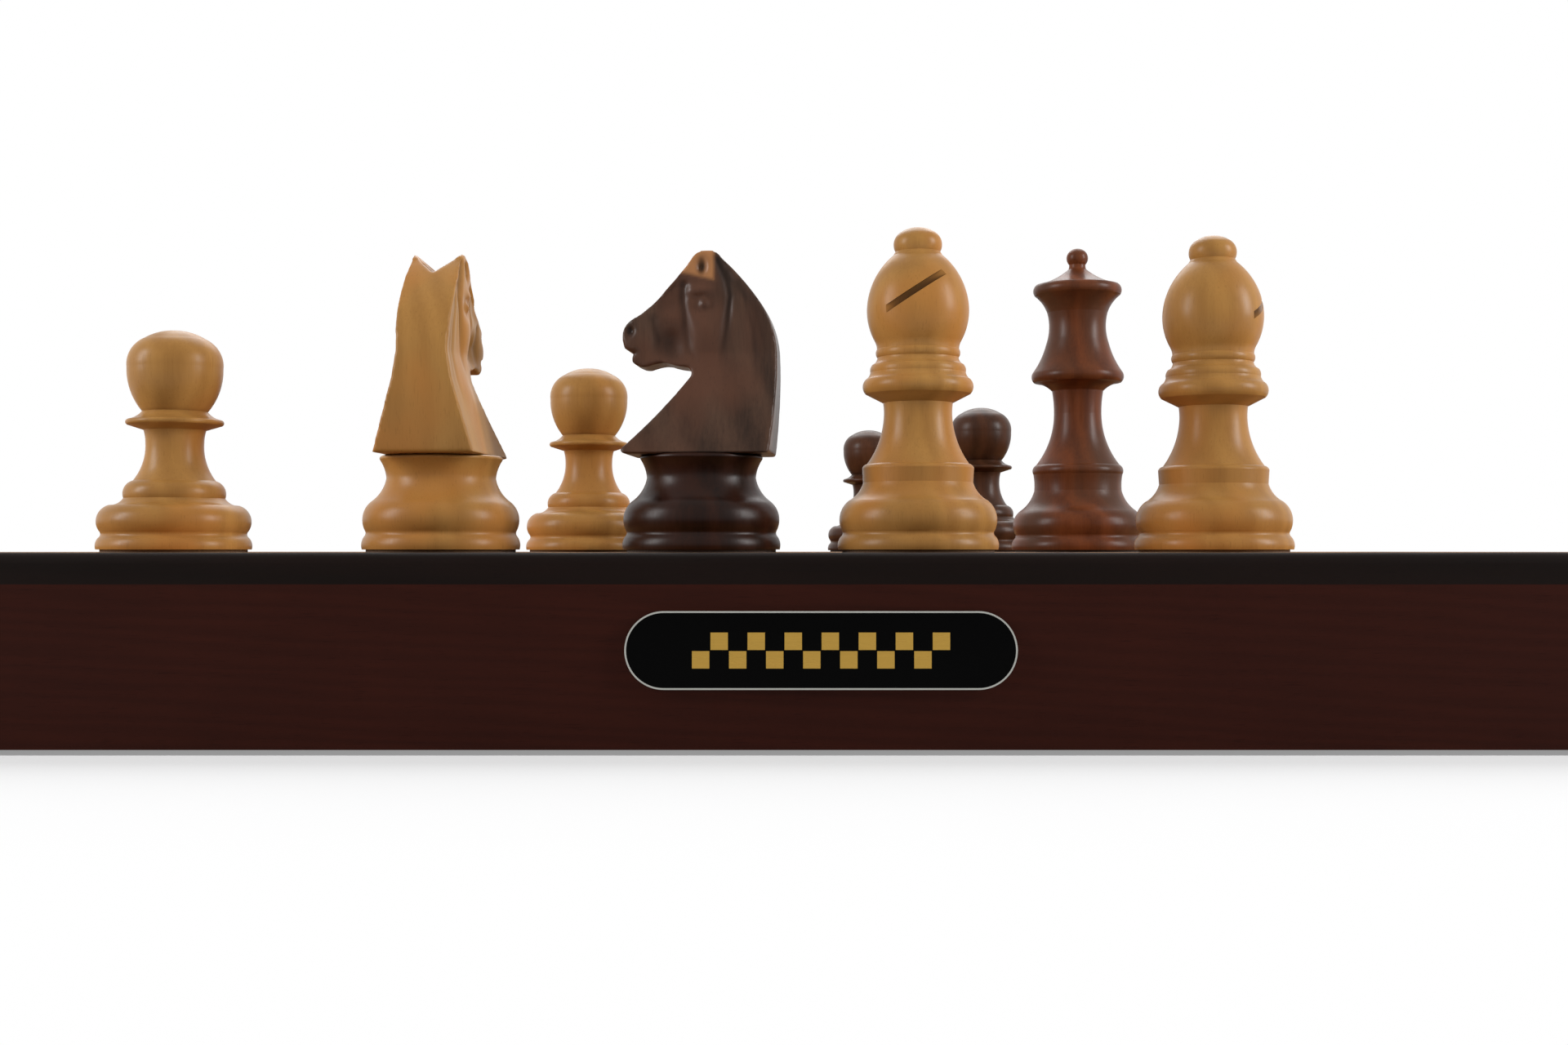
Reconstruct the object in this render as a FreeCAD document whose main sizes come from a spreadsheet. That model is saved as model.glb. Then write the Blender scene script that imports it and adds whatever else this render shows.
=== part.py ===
"""Electronic chess computer: a framed wooden sensor board with a key panel, and the chess pieces on it.

Millimetres, +Z up, +Y away from the player. The origin is the middle of the board, on the surface under it.
"""

import FreeCAD, Part
import ast
import math
import operator
import os
import re

import Sketcher

# Driving sizes of the board, its electronics and the fits between its pieces.
BOARD_SIZES = {
    "square_size": 55.0,
    "border_width": 40.0,
    "rail_height": 28.7,
    "rail_thickness": 12.0,
    "top_thickness": 5.5,
    "top_edge_radius": 2.0,
    "square_thickness": 1.0,
    "stringing_width": 2.0,
    "base_thickness": 3.0,
    "base_seat_width": 5.0,
    "fit_gap": 0.2,
    "foot_thickness": 1.0,
    "foot_radius": 9.0,
    "foot_inset": 35.0,
    "corner_block_leg": 34.0,
    "side_block_length": 20.0,
    "side_block_depth": 12.0,
    "base_screw_radius": 1.5,
    "base_screw_length": 14.0,
    "base_screw_head_radius": 3.0,
    "base_screw_head_height": 1.8,
    "base_screw_slot_width": 0.9,
    "base_screw_slot_depth": 0.8,
    "screw_hole_gap": 0.05,
    "led_inset": 6.0,
    "led_pipe_radius": 1.2,
    "led_pipe_gap": 0.05,
    "led_pocket_radius": 2.0,
    "led_pocket_depth": 1.0,
    "led_side": 1.8,
    "led_height": 0.7,
    "circuit_thickness": 1.6,
    "board_screw_radius": 1.2,
    "board_screw_bite": 3.0,
    "board_screw_head_radius": 2.4,
    "board_screw_head_height": 1.6,
    "plate_length": 68.0,
    "plate_height": 13.6,
    "plate_thickness": 1.2,
    "plate_rim": 0.3,
    "plate_face_depth": 0.6,
    "plate_drop": 16.9,
    "panel_width": 20.0,
    "panel_length": 160.0,
    "panel_thickness": 2.0,
    "panel_ledge": 2.0,
    "panel_offset": 15.0,
    "panel_near_end": 200.0,
    "window_length": 58.0,
    "window_width": 13.0,
    "window_distance": 120.0,
    "display_length": 62.0,
    "display_width": 15.4,
    "key_radius": 4.5,
    "key_proud": 1.2,
    "key_rounding": 0.5,
    "key_gap": 0.25,
    "key_pitch": 15.0,
    "key_first": 12.0,
    "key_travel": 1.0,
    "key_flange_radius": 5.3,
    "key_flange_thickness": 0.9,
    "key_stem_radius": 1.7,
    "key_stem_entry": 1.2,
    "switch_side": 6.0,
    "switch_height": 3.5,
    "switch_stem_gap": 0.1,
    "switch_clearance": 0.2,
    "key_circuit_width": 24.0,
    "key_circuit_margin": 2.0,
    "main_circuit_length": 120.0,
    "main_circuit_width": 80.0,
    "main_circuit_x": 150.0,
    "main_circuit_gap": 2.0,
    "standoff_height": 5.0,
    "standoff_radius": 3.0,
    "standoff_inset": 6.0,
    "processor_side": 22.0,
    "processor_height": 2.0,
    "heat_sink_side": 28.0,
    "heat_sink_base": 2.0,
    "heat_sink_fin_height": 7.0,
    "heat_sink_fin": 1.4,
    "heat_sink_pitch": 4.0,
    "tongue_width": 44.0,
    "tongue_reach": 11.0,
    "port_window_length": 48.0,
    "port_window_height": 11.0,
    "port_plate_length": 60.0,
    "port_plate_height": 19.0,
    "port_plate_thickness": 1.5,
    "usb_length": 9.0,
    "usb_depth": 7.4,
    "usb_height": 3.2,
    "usb_wall": 0.35,
    "usb_tongue_thickness": 0.7,
    "usb_x": -10.0,
    "switch_case_length": 13.0,
    "switch_case_depth": 6.0,
    "switch_case_height": 5.2,
    "switch_slot_length": 8.2,
    "switch_slot_height": 2.8,
    "switch_slot_depth": 4.0,
    "switch_x": 10.0,
    "slider_length": 3.8,
    "slider_proud": 1.8,
    "slider_travel": 4.0,
    "header_depth": 6.0,
    "header_height": 5.0,
    "ribbon_width": 22.0,
    "ribbon_thickness": 0.8,
    "ribbon_run": 16.0,
    "panel_ribbon_width": 12.0,
    "speaker_radius": 20.0,
    "speaker_height": 5.0,
    "speaker_magnet_radius": 11.0,
    "speaker_magnet_height": 6.0,
    "speaker_x": -150.0,
    "speaker_y": 150.0,
    "speaker_hole_radius": 1.5,
    "speaker_hole_ring": 6.0,
    "felt_thickness": 0.6,
    "felt_inset": 0.8,
    "core_gap": 0.1,
    "coil_height": 3.0,
    "coil_wall": 2.2,
    "ballast_height": 5.0,
    "pawn_core_radius": 7.0,
    "bishop_core_radius": 8.0,
    "queen_core_radius": 8.5,
    "knight_core_radius": 8.0,
    "bishop_slit_width": 1.4,
    "bishop_slit_floor": 7.6,
    "bishop_slit_height": 55.0,
    "bishop_slit_rise": 33.0,
    "bishop_slit_reach": 12.0,
    "knight_ear_notch_depth": 4.1,
    "knight_ear_half_spread": 4.6,
    "knight_muzzle_half_width": 4.6,
    "knight_cheek_half_width": 5.8,
    "knight_cheek_reach": 3.0,
    "knight_jaw_height": 17.6,
}

# Each turned outline runs from the foot to the top. A row is a turning: its rise, the radius it ends at,
# and how far its arc bulges from a straight line (outwards above zero, hollow below, straight at zero).
PAWN_OUTLINE = {
    "foot": (0.0, 15.6, 0.0),
    "plinth": (2.6, 14.9, 0.4),
    "groove": (1.2, 14.9, -0.25),
    "ring": (5.4, 13.2, 1.4),
    "shoulder": (1.5, 10.2, -0.45),
    "bead": (3.7, 8.3, 0.9),
    "stem_foot": (8.0, 5.9, -0.75),
    "stem": (2.6, 6.3, -0.1),
    "collar_under": (1.0, 9.4, 0.0),
    "collar_rim": (1.2, 9.4, 0.5),
    "collar_top": (1.7, 6.6, -0.3),
    "head_foot": (9.1, 9.7, 0.85),
    "head": (6.2, 6.2, 1.15),
    "crown": (1.7, 0.4, 0.42),
    "tip": (0.0, 0.0, 0.0),
}
BISHOP_OUTLINE = {
    "foot": (0.0, 16.7, 0.0),
    "plinth": (2.8, 16.1, 0.4),
    "groove": (1.2, 16.0, -0.25),
    "ring": (6.2, 14.6, 1.1),
    "cove": (3.8, 11.5, -0.5),
    "band": (3.0, 11.7, 0.0),
    "band_rim": (0.9, 10.7, 0.2),
    "stem_foot": (9.5, 7.2, -0.7),
    "stem": (3.3, 7.3, -0.1),
    "collar_under": (1.9, 11.0, 0.0),
    "collar_rim": (3.0, 11.0, 0.6),
    "collar_step": (1.5, 10.0, -0.2),
    "collar_bead": (1.6, 9.6, 0.2),
    "neck_cove": (1.5, 8.5, -0.25),
    "neck_bead": (1.8, 8.6, 0.3),
    "neck": (1.6, 9.0, -0.1),
    "head_foot": (7.0, 10.7, 0.5),
    "head": (11.1, 5.2, 1.3),
    "finial_neck": (0.8, 4.7, 0.0),
    "finial": (4.2, 3.4, 0.95),
    "finial_top": (0.9, 0.4, 0.23),
    "tip": (0.0, 0.0, 0.0),
}
QUEEN_OUTLINE = {
    "foot": (0.0, 17.5, 0.0),
    "plinth": (3.0, 16.9, 0.45),
    "groove": (1.4, 16.8, -0.25),
    "ring": (6.0, 15.4, 1.1),
    "cove": (5.4, 11.6, -0.6),
    "band": (4.4, 11.8, -0.15),
    "band_rim": (2.5, 11.1, 0.55),
    "stem_foot": (13.7, 6.3, -1.2),
    "stem": (6.2, 6.8, -0.15),
    "collar_under": (2.3, 11.6, -0.5),
    "collar_rim": (2.7, 11.9, 0.5),
    "skirt": (7.8, 8.3, -0.4),
    "waist": (8.2, 8.0, -0.6),
    "flare": (4.8, 11.4, -0.45),
    "crown_rim": (2.7, 11.0, 0.55),
    "crown_top": (4.2, 2.4, -0.6),
    "finial_neck": (1.3, 2.2, -0.1),
    "finial": (3.9, 1.6, 0.95),
    "finial_top": (0.4, 0.4, 0.1),
    "tip": (0.0, 0.0, 0.0),
}
KNIGHT_BASE_OUTLINE = {
    "foot": (0.0, 16.4, 0.0),
    "plinth": (2.8, 15.9, 0.35),
    "groove": (1.2, 15.8, -0.2),
    "ring": (6.0, 14.6, 1.05),
    "cove": (5.0, 11.4, -0.6),
    "flare": (3.8, 12.7, -0.25),
    "lip": (0.9, 12.3, 0.3),
    "seat": (0.0, 0.0, 0.0),
}

# The knight's head from the side: each corner's distance in front of the turned axis (behind it below zero),
# its height over the seat, and the bulge of the edge that leads to it.
KNIGHT_HEAD_OUTLINE = {
    "back_corner": (-14.9, 0.2, 0.0),
    "mane_foot": (-16.2, 14.1, 0.15),
    "mane": (-16.2, 21.8, 0.1),
    "crest": (-12.7, 31.7, 0.7),
    "poll": (-4.7, 40.9, 0.35),
    "ear": (1.2, 41.3, 1.6),
    "forehead": (3.8, 37.8, -0.1),
    "brow": (7.4, 33.7, 0.0),
    "bridge": (12.8, 28.9, -0.25),
    "nose": (15.8, 26.4, 0.35),
    "muzzle": (15.6, 22.2, 0.35),
    "mouth": (13.4, 21.2, 0.0),
    "lip": (14.0, 19.4, 0.3),
    "chin": (11.0, 18.3, 0.35),
    "chin_groove": (6.8, 19.2, -0.2),
    "jaw": (2.7, 18.3, 0.2),
    "throat": (1.4, 16.6, -0.4),
    "chest": (15.8, 0.9, -0.5),
    "chest_foot": (15.0, 0.0, 0.1),
}
# The knight's head from the front: half of its width at some heights over the seat.
KNIGHT_FRONT_OUTLINE = {
    "seat": (10.6, 0.0),
    "skirt": (8.4, 7.6),
    "neck": (6.3, 15.0),
    "throat": (5.3, 21.0),
    "cheek": (5.7, 30.0),
    "poll": (5.8, 37.0),
    "ear": (5.3, 43.5),
}

# Where each chess piece stands: its kind, its square's file and rank counted from the near left corner,
# how far it is off the square's centre to the right and away from the player, and the way it faces.
PIECES = {
    "light_pawn_left": ("pawn", 2, 1, 3.4, 0.0, 0.0),
    "light_knight": ("knight", 3, 1, 3.7, 3.3, 85.0),
    "light_pawn_back": ("pawn", 3, 3, 26.7, -28.3, 0.0),
    "dark_knight": ("knight", 4, 1, 3.8, 0.0, 176.0),
    "light_bishop_left": ("bishop", 5, 1, -5.8, 0.0, 3.0),
    "dark_pawn_far": ("pawn", 5, 7, -1.4, -4.8, 0.0),
    "dark_pawn_near": ("pawn", 6, 5, -25.3, -7.7, 0.0),
    "dark_queen": ("queen", 6, 3, -10.1, 0.0, 0.0),
    "light_bishop_right": ("bishop", 6, 1, 3.5, 10.4, 84.0),
}
KEYS = ["back_key", "left_key", "right_key", "up_key", "enter_key"]
SQUARES_A_SIDE = 8
RAIL_TURNS = {"front_rail": 0.0, "right_rail": 90.0, "back_rail": 180.0, "left_rail": 270.0}

# Sizes that other sizes settle, written as formulas of the named sizes.
FIELD_HALF = f"({SQUARES_A_SIDE} / 2 * square_size)"
HALF = f"({FIELD_HALF} + border_width)"
INNER_HALF = f"({HALF} - rail_thickness)"
BASE_HALF = f"({INNER_HALF} + base_seat_width - fit_gap)"
RAIL_TOP = "(foot_thickness + rail_height)"
TOP = f"({RAIL_TOP} + top_thickness)"
BASE_TOP = "(foot_thickness + base_thickness)"
PANEL_X = f"({FIELD_HALF} + panel_offset)"
PANEL_UNDER = f"({TOP} - panel_thickness)"
KEY_FLANGE_FLOOR = f"({PANEL_UNDER} - switch_clearance / 2 - key_flange_thickness)"
SWITCH_TOP = f"({KEY_FLANGE_FLOOR} - key_travel - switch_clearance)"
KEY_CIRCUIT_TOP = f"({SWITCH_TOP} - switch_height)"
MAIN_TOP = f"({BASE_TOP} + standoff_height + circuit_thickness)"
MAIN_BACK = f"({INNER_HALF} - main_circuit_gap)"
PLATE_OUTER = f"({HALF} - fit_gap)"
SWITCH_MID = f"({MAIN_TOP} + switch_case_height / 2)"

doc = FreeCAD.newDocument("chess_computer")
sheet = doc.addObject("Spreadsheet::Sheet", "Sizes")
parts = {}


def fill_sheet():
    """Writes every driving size to the sheet, each in a cell with its own alias."""
    cells = dict(BOARD_SIZES)
    for kind, outline in TURNED.items():
        for turning, (rise, radius, bulge) in outline.items():
            cells[f"{kind}_{turning}_rise"] = rise
            cells[f"{kind}_{turning}_radius"] = radius
            cells[f"{kind}_{turning}_bulge"] = bulge
    for corner, (ahead, height, bulge) in KNIGHT_HEAD_OUTLINE.items():
        cells[f"horse_{corner}_ahead"] = ahead
        cells[f"horse_{corner}_height"] = height
        cells[f"horse_{corner}_bulge"] = bulge
    for corner, (half_width, height) in KNIGHT_FRONT_OUTLINE.items():
        cells[f"horse_front_{corner}_half"] = half_width
        cells[f"horse_front_{corner}_height"] = height
    for name, (_, _, _, right, away, facing) in PIECES.items():
        cells[f"{name}_right"] = right
        cells[f"{name}_away"] = away
        cells[f"{name}_facing"] = facing
    for row, (alias, value) in enumerate(cells.items(), 1):
        sheet.set(f"A{row}", alias)
        sheet.set(f"B{row}", str(value))
        sheet.setAlias(f"B{row}", alias)
    doc.recompute()
    return set(cells)


TURNED = {
    "pawn": PAWN_OUTLINE,
    "bishop": BISHOP_OUTLINE,
    "queen": QUEEN_OUTLINE,
    "knight": KNIGHT_BASE_OUTLINE,
}
ALIASES = fill_sheet()


def sized(text):
    """A formula of named sizes as an expression that reads the sheet."""
    return re.sub(r"[a-z_]+", lambda word: f"Sizes.{word[0]}" if word[0] in ALIASES else word[0], text)


def value(text):
    """What a formula of named sizes comes to now."""
    return worked_out(ast.parse(text.strip().replace("^", "**")).body[0].value)


SIGNS = {
    ast.Add: operator.add,
    ast.Sub: operator.sub,
    ast.Mult: operator.mul,
    ast.Div: operator.truediv,
    ast.Pow: operator.pow,
}


def worked_out(term):
    """The number that one term of a formula comes to, with the sizes that the sheet holds."""
    if isinstance(term, ast.Constant):
        return float(term.value)
    if isinstance(term, ast.Name):
        return float(sheet.get(term.id))
    if isinstance(term, ast.UnaryOp):
        return -worked_out(term.operand)
    if isinstance(term, ast.Call):
        return abs(worked_out(term.args[0]))
    return SIGNS[type(term.op)](worked_out(term.left), worked_out(term.right))


def bind(thing, **formulas):
    """Ties properties of an object to formulas; x, y and z are its place."""
    for name, formula in formulas.items():
        path = {"x": "Placement.Base.x", "y": "Placement.Base.y", "z": "Placement.Base.z"}.get(name, name)
        thing.setExpression(path, sized(str(formula)))
    return thing


def box(name, length, width, height, x, y, z):
    """A block with its lowest corner at x, y, z."""
    block = doc.addObject("Part::Box", name)
    return bind(block, Length=length, Width=width, Height=height, x=x, y=y, z=z)


def middle_box(name, length, width, height, x, y, z):
    """A block centred on x and y, standing on z."""
    return box(name, length, width, height, f"{x} - ({length}) / 2", f"{y} - ({width}) / 2", z)


def cylinder(name, radius, height, x, y, z):
    """An upright cylinder standing on z."""
    return bind(doc.addObject("Part::Cylinder", name), Radius=radius, Height=height, x=x, y=y, z=z)


def cone(name, radius, top_radius, height, x, y, z):
    """An upright cone standing on z."""
    return bind(
        doc.addObject("Part::Cone", name), Radius1=radius, Radius2=top_radius, Height=height, x=x, y=y, z=z,
    )


def group(name, members):
    """Separate solids held together as one object."""
    bundle = doc.addObject("Part::Compound", name)
    bundle.Links = members
    return bundle


def fuse(name, members):
    """One solid made of several."""
    joined = doc.addObject("Part::MultiFuse", name)
    joined.Shapes = members
    return joined


def cut(name, base, tool):
    """What is left of base when tool is taken from it."""
    left = doc.addObject("Part::Cut", name)
    left.Base = base
    left.Tool = tool
    return left


def keep(label, thing):
    """Names a finished sub-part."""
    thing.Label = label
    parts[label] = thing
    return thing


def sketch_on(body, name, role, **offsets):
    """A sketch on one of the body's own origin planes, moved off it by formulas."""
    sketch = body.newObject("Sketcher::SketchObject", name)
    plane = next(f for f in body.Origin.OriginFeatures if f.Role == role)
    sketch.AttachmentSupport = [(plane, "")]
    sketch.MapMode = "FlatFace"
    for axis, formula in offsets.items():
        sketch.setExpression(f"AttachmentOffset.Base.{axis}", sized(formula))
    doc.recompute()
    return sketch


def arc_between(start, end, bulge):
    """The arc from start to end that stands off the straight line by bulge, on the right of its run."""
    chord = end - start
    side = FreeCAD.Vector(chord.y, -chord.x, 0).normalize()
    middle = (start + end) * 0.5 + side * bulge
    return Part.Arc(start, middle, end)


def bulge_radius(dx, dy, bulge):
    """The formula of an arc's radius from its chord and its bulge."""
    return f"((({dx}) ^ 2 + ({dy}) ^ 2) / 4 + ({bulge}) ^ 2) / (2 * abs({bulge}))"


def hold(sketch, constraint, formula):
    """Adds a dimension to a sketch and ties it to a formula."""
    number = sketch.addConstraint(constraint)
    sketch.setExpression(f"Constraints[{number}]", sized(formula))


def place_corner(sketch, edge, point, across, up):
    """Fixes an edge's end by its distances from the sketch's origin, on either side of it."""
    for kind, formula in (("DistanceX", across), ("DistanceY", up)):
        now = value(formula)
        if now == 0:
            axis = -2 if kind == "DistanceX" else -1
            sketch.addConstraint(Sketcher.Constraint("PointOnObject", edge, point, axis))
        elif now > 0:
            hold(sketch, Sketcher.Constraint(kind, -1, 1, edge, point, now), formula)
        else:
            hold(sketch, Sketcher.Constraint(kind, edge, point, -1, 1, -now), f"-({formula})")


def draw_outline(sketch, corners):
    """Draws a closed outline. A corner is (across, up, bulge of the edge that leads to it), as formulas."""
    spots = [FreeCAD.Vector(value(across), value(up), 0) for across, up, _ in corners]
    count = len(corners)
    for index in range(count):
        start, end = spots[index], spots[(index + 1) % count]
        bulge = value(corners[(index + 1) % count][2])
        edge = Part.LineSegment(start, end) if bulge == 0 else arc_between(start, end, bulge)
        sketch.addGeometry(edge, False)
    ends = [_end_points(sketch, index, spots[index]) for index in range(count)]
    for index in range(count):
        following = (index + 1) % count
        sketch.addConstraint(
            Sketcher.Constraint("Coincident", index, ends[index][1], following, ends[following][0])
        )
    for index, (across, up, _) in enumerate(corners):
        place_corner(sketch, index, ends[index][0], across, up)
    for index in range(count):
        here, there = corners[index], corners[(index + 1) % count]
        if value(there[2]) != 0:
            radius = bulge_radius(f"{there[0]} - ({here[0]})", f"{there[1]} - ({here[1]})", there[2])
            hold(sketch, Sketcher.Constraint("Radius", index, value(radius)), radius)


def _end_points(sketch, edge, start):
    """Which of an edge's two ends is its first: an arc drawn the other way round has them swapped."""
    first_is_start = sketch.getPoint(edge, 1).distanceToPoint(start) < 1e-6
    return (1, 2) if first_is_start else (2, 1)


def pad(body, sketch, length, symmetric=False):
    """A sketch raised to a length, to one side or to both."""
    raised = body.newObject("PartDesign::Pad", f"{sketch.Name}_pad")
    raised.Profile = sketch
    raised.SideType = "Symmetric" if symmetric else "One side"
    raised.setExpression("Length", sized(length))
    return raised


def pocket(body, sketch, length=None, towards_normal=False, both_ways=False):
    """A sketch cut out of the body, to a length or right through it."""
    taken = body.newObject("PartDesign::Pocket", f"{sketch.Name}_pocket")
    taken.Profile = sketch
    taken.SideType = "Symmetric" if both_ways else "One side"
    taken.Reversed = towards_normal
    if length is None:
        taken.Type = "ThroughAll"
    else:
        taken.setExpression("Length", sized(length))
    return taken


# The frame: four mitred rails, the blocks glued into their corners and the panel that closes them below.


def mitred_rail(label, turn):
    """A rail with mitred ends, lying along the front and turned to its own side of the board."""
    body = doc.addObject("PartDesign::Body", f"{label}_blank")
    sketch = sketch_on(body, f"{label}_plan", "XY_Plane")
    corners = [
        (f"-{HALF}", f"-{HALF}", "0"),
        (HALF, f"-{HALF}", "0"),
        (INNER_HALF, f"-{INNER_HALF}", "0"),
        (f"-{INNER_HALF}", f"-{INNER_HALF}", "0"),
    ]
    draw_outline(sketch, corners)
    pad(body, sketch, "rail_height")
    body.Placement.Rotation = FreeCAD.Rotation(FreeCAD.Vector(0, 0, 1), turn)
    return bind(body, z="foot_thickness")


def base_seat(label):
    """The room for the base panel that is rebated into the rails."""
    side = f"(2 * ({BASE_HALF} + fit_gap))"
    return middle_box(f"{label}_seat", side, side, "base_thickness", "0", "0", "foot_thickness")


def port_room():
    """The window through the back rail for the connectors, with the shallow seat of their plate."""
    through = middle_box(
        "port_window", "port_window_length", "2 * rail_thickness", "port_window_height",
        "main_circuit_x", HALF, f"{MAIN_TOP} - circuit_thickness - fit_gap",
    )
    seat = middle_box(
        "port_seat", "port_plate_length + 2 * fit_gap", "2 * (port_plate_thickness + fit_gap)",
        "port_plate_height + 2 * fit_gap", "main_circuit_x", HALF, f"{PORT_PLATE_FOOT} - fit_gap",
    )
    return fuse("port_room", [through, seat])


PORT_PLATE_FOOT = f"({MAIN_TOP} + port_window_height / 2 - circuit_thickness - port_plate_height / 2)"


def make_frame():
    """The four rails."""
    for label, turn in RAIL_TURNS.items():
        rail = cut(f"{label}_rebated", mitred_rail(label, turn), base_seat(label))
        if label == "back_rail":
            rail = cut("back_rail_with_window", rail, port_room())
        keep(label, rail)


def block_spots():
    """Where the base screws stand: near each corner, and at the middle of each side."""
    corner = f"({INNER_HALF} - corner_block_leg / 3.2)"
    side = f"({INNER_HALF} - side_block_depth / 2)"
    corners = [(f"{sx} * {corner}", f"{sy} * {corner}") for sx in (-1, 1) for sy in (-1, 1)]
    return corners + [("0", f"-{side}"), ("0", side), (f"-{side}", "0"), (side, "0")]


def corner_block(number, turn):
    """A three-cornered block glued into a corner of the frame."""
    body = doc.addObject("PartDesign::Body", f"corner_block_{number}")
    sketch = sketch_on(body, f"corner_block_{number}_plan", "XY_Plane")
    near = f"({INNER_HALF} - corner_block_leg)"
    draw_outline(sketch, [(INNER_HALF, near, "0"), (INNER_HALF, INNER_HALF, "0"), (near, INNER_HALF, "0")])
    pad(body, sketch, f"{RAIL_TOP} - {BASE_TOP}")
    body.Placement.Rotation = FreeCAD.Rotation(FreeCAD.Vector(0, 0, 1), turn)
    return bind(body, z=BASE_TOP)


def make_glue_blocks():
    """Corner and side blocks, bored for the base screws."""
    blocks = [corner_block(number, 90.0 * number) for number in range(4)]
    height = f"{RAIL_TOP} - {BASE_TOP}"
    for number, (x, y) in enumerate(block_spots()[4:]):
        along_x = x == "0"
        length = "side_block_length" if along_x else "side_block_depth"
        width = "side_block_depth" if along_x else "side_block_length"
        blocks.append(middle_box(f"side_block_{number}", length, width, height, x, y, BASE_TOP))
    bores = [
        cylinder(
            f"block_bore_{number}", "base_screw_radius + screw_hole_gap", "base_screw_length", x, y,
            "foot_thickness",
        )
        for number, (x, y) in enumerate(block_spots())
    ]
    keep("glue_blocks", cut("glue_blocks_bored", group("block_set", blocks), group("block_bores", bores)))


def base_screw(name, x, y, gap):
    """A countersunk screw driven up from below, grown all round by gap."""
    head = cone(
        f"{name}_head", f"base_screw_head_radius + {gap}", f"base_screw_radius + {gap}",
        "base_screw_head_height", x, y, "foot_thickness",
    )
    shank = cylinder(
        f"{name}_shank", f"base_screw_radius + {gap}", "base_screw_length", x, y, "foot_thickness",
    )
    return fuse(name, [head, shank])


def make_base():
    """The base panel with its countersinks and sound holes, its screws and its felt feet."""
    side = f"(2 * {BASE_HALF})"
    panel = middle_box("base_blank", side, side, "base_thickness", "0", "0", "foot_thickness")
    holes = [base_screw(f"base_hole_{n}", x, y, "screw_hole_gap") for n, (x, y) in enumerate(block_spots())]
    for ring, count in enumerate((1, 6, 12)):
        for step in range(count):
            turn = math.radians(360.0 / count * step)
            x = f"speaker_x + {ring * math.cos(turn):.6f} * speaker_hole_ring"
            y = f"speaker_y + {ring * math.sin(turn):.6f} * speaker_hole_ring"
            holes.append(
                cylinder(
                    f"sound_hole_{ring}_{step}", "speaker_hole_radius", "3 * base_thickness", x, y,
                    "-base_thickness",
                )
            )
    keep("base_panel", cut("base_drilled", panel, group("base_holes", holes)))
    screws = [base_screw(f"base_screw_{n}", x, y, "0") for n, (x, y) in enumerate(block_spots())]
    slots = [
        middle_box(
            f"base_screw_slot_{n}", "2.2 * base_screw_head_radius", "base_screw_slot_width",
            "base_screw_slot_depth", x, y, "foot_thickness",
        )
        for n, (x, y) in enumerate(block_spots())
    ]
    keep(
        "base_screws",
        cut("base_screws_slotted", group("base_screw_set", screws), group("base_screw_slots", slots)),
    )
    spot = f"({HALF} - foot_inset)"
    feet = [
        cylinder(
            f"foot_{sx + 1}{sy + 1}", "foot_radius", "foot_thickness", f"{sx} * {spot}",
            f"{sy} * {spot}", "0",
        )
        for sx in (-1, 1)
        for sy in (-1, 1)
    ]
    keep("felt_feet", group("feet", feet))


# The top: a board with a rounded edge, the squares let into it, the stringing round them and the light pipes.


def square_centre(index):
    """The formula of a file's or rank's middle line, counted from one."""
    return f"(({index} - {(SQUARES_A_SIDE + 1) / 2}) * square_size)"


def led_spots():
    """Where the light pipes come up: near the far left corner of every square."""
    for file in range(1, SQUARES_A_SIDE + 1):
        for rank in range(1, SQUARES_A_SIDE + 1):
            x = f"{square_centre(file)} - square_size / 2 + led_inset"
            y = f"{square_centre(rank)} + square_size / 2 - led_inset"
            yield file, rank, x, y


def top_blank():
    """The top board before it is routed, with its upper edge rounded over."""
    body = doc.addObject("PartDesign::Body", "top_blank")
    sketch = sketch_on(body, "top_plan", "XY_Plane")
    draw_outline(
        sketch,
        [(f"{sx}{HALF}", f"{sy}{HALF}", "0") for sx, sy in (("-", "-"), ("", "-"), ("", ""), ("-", ""))],
    )
    raised = pad(body, sketch, "top_thickness")
    doc.recompute()
    rounded = body.newObject("PartDesign::Fillet", "top_rounding")
    high = value("top_thickness")
    edges = [
        f"Edge{n}"
        for n, edge in enumerate(raised.Shape.Edges, 1)
        if all(abs(v.Point.z - high) < 1e-6 for v in edge.Vertexes)
    ]
    rounded.Base = (raised, edges)
    rounded.setExpression("Radius", sized("top_edge_radius"))
    return bind(body, z=RAIL_TOP)


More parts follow.
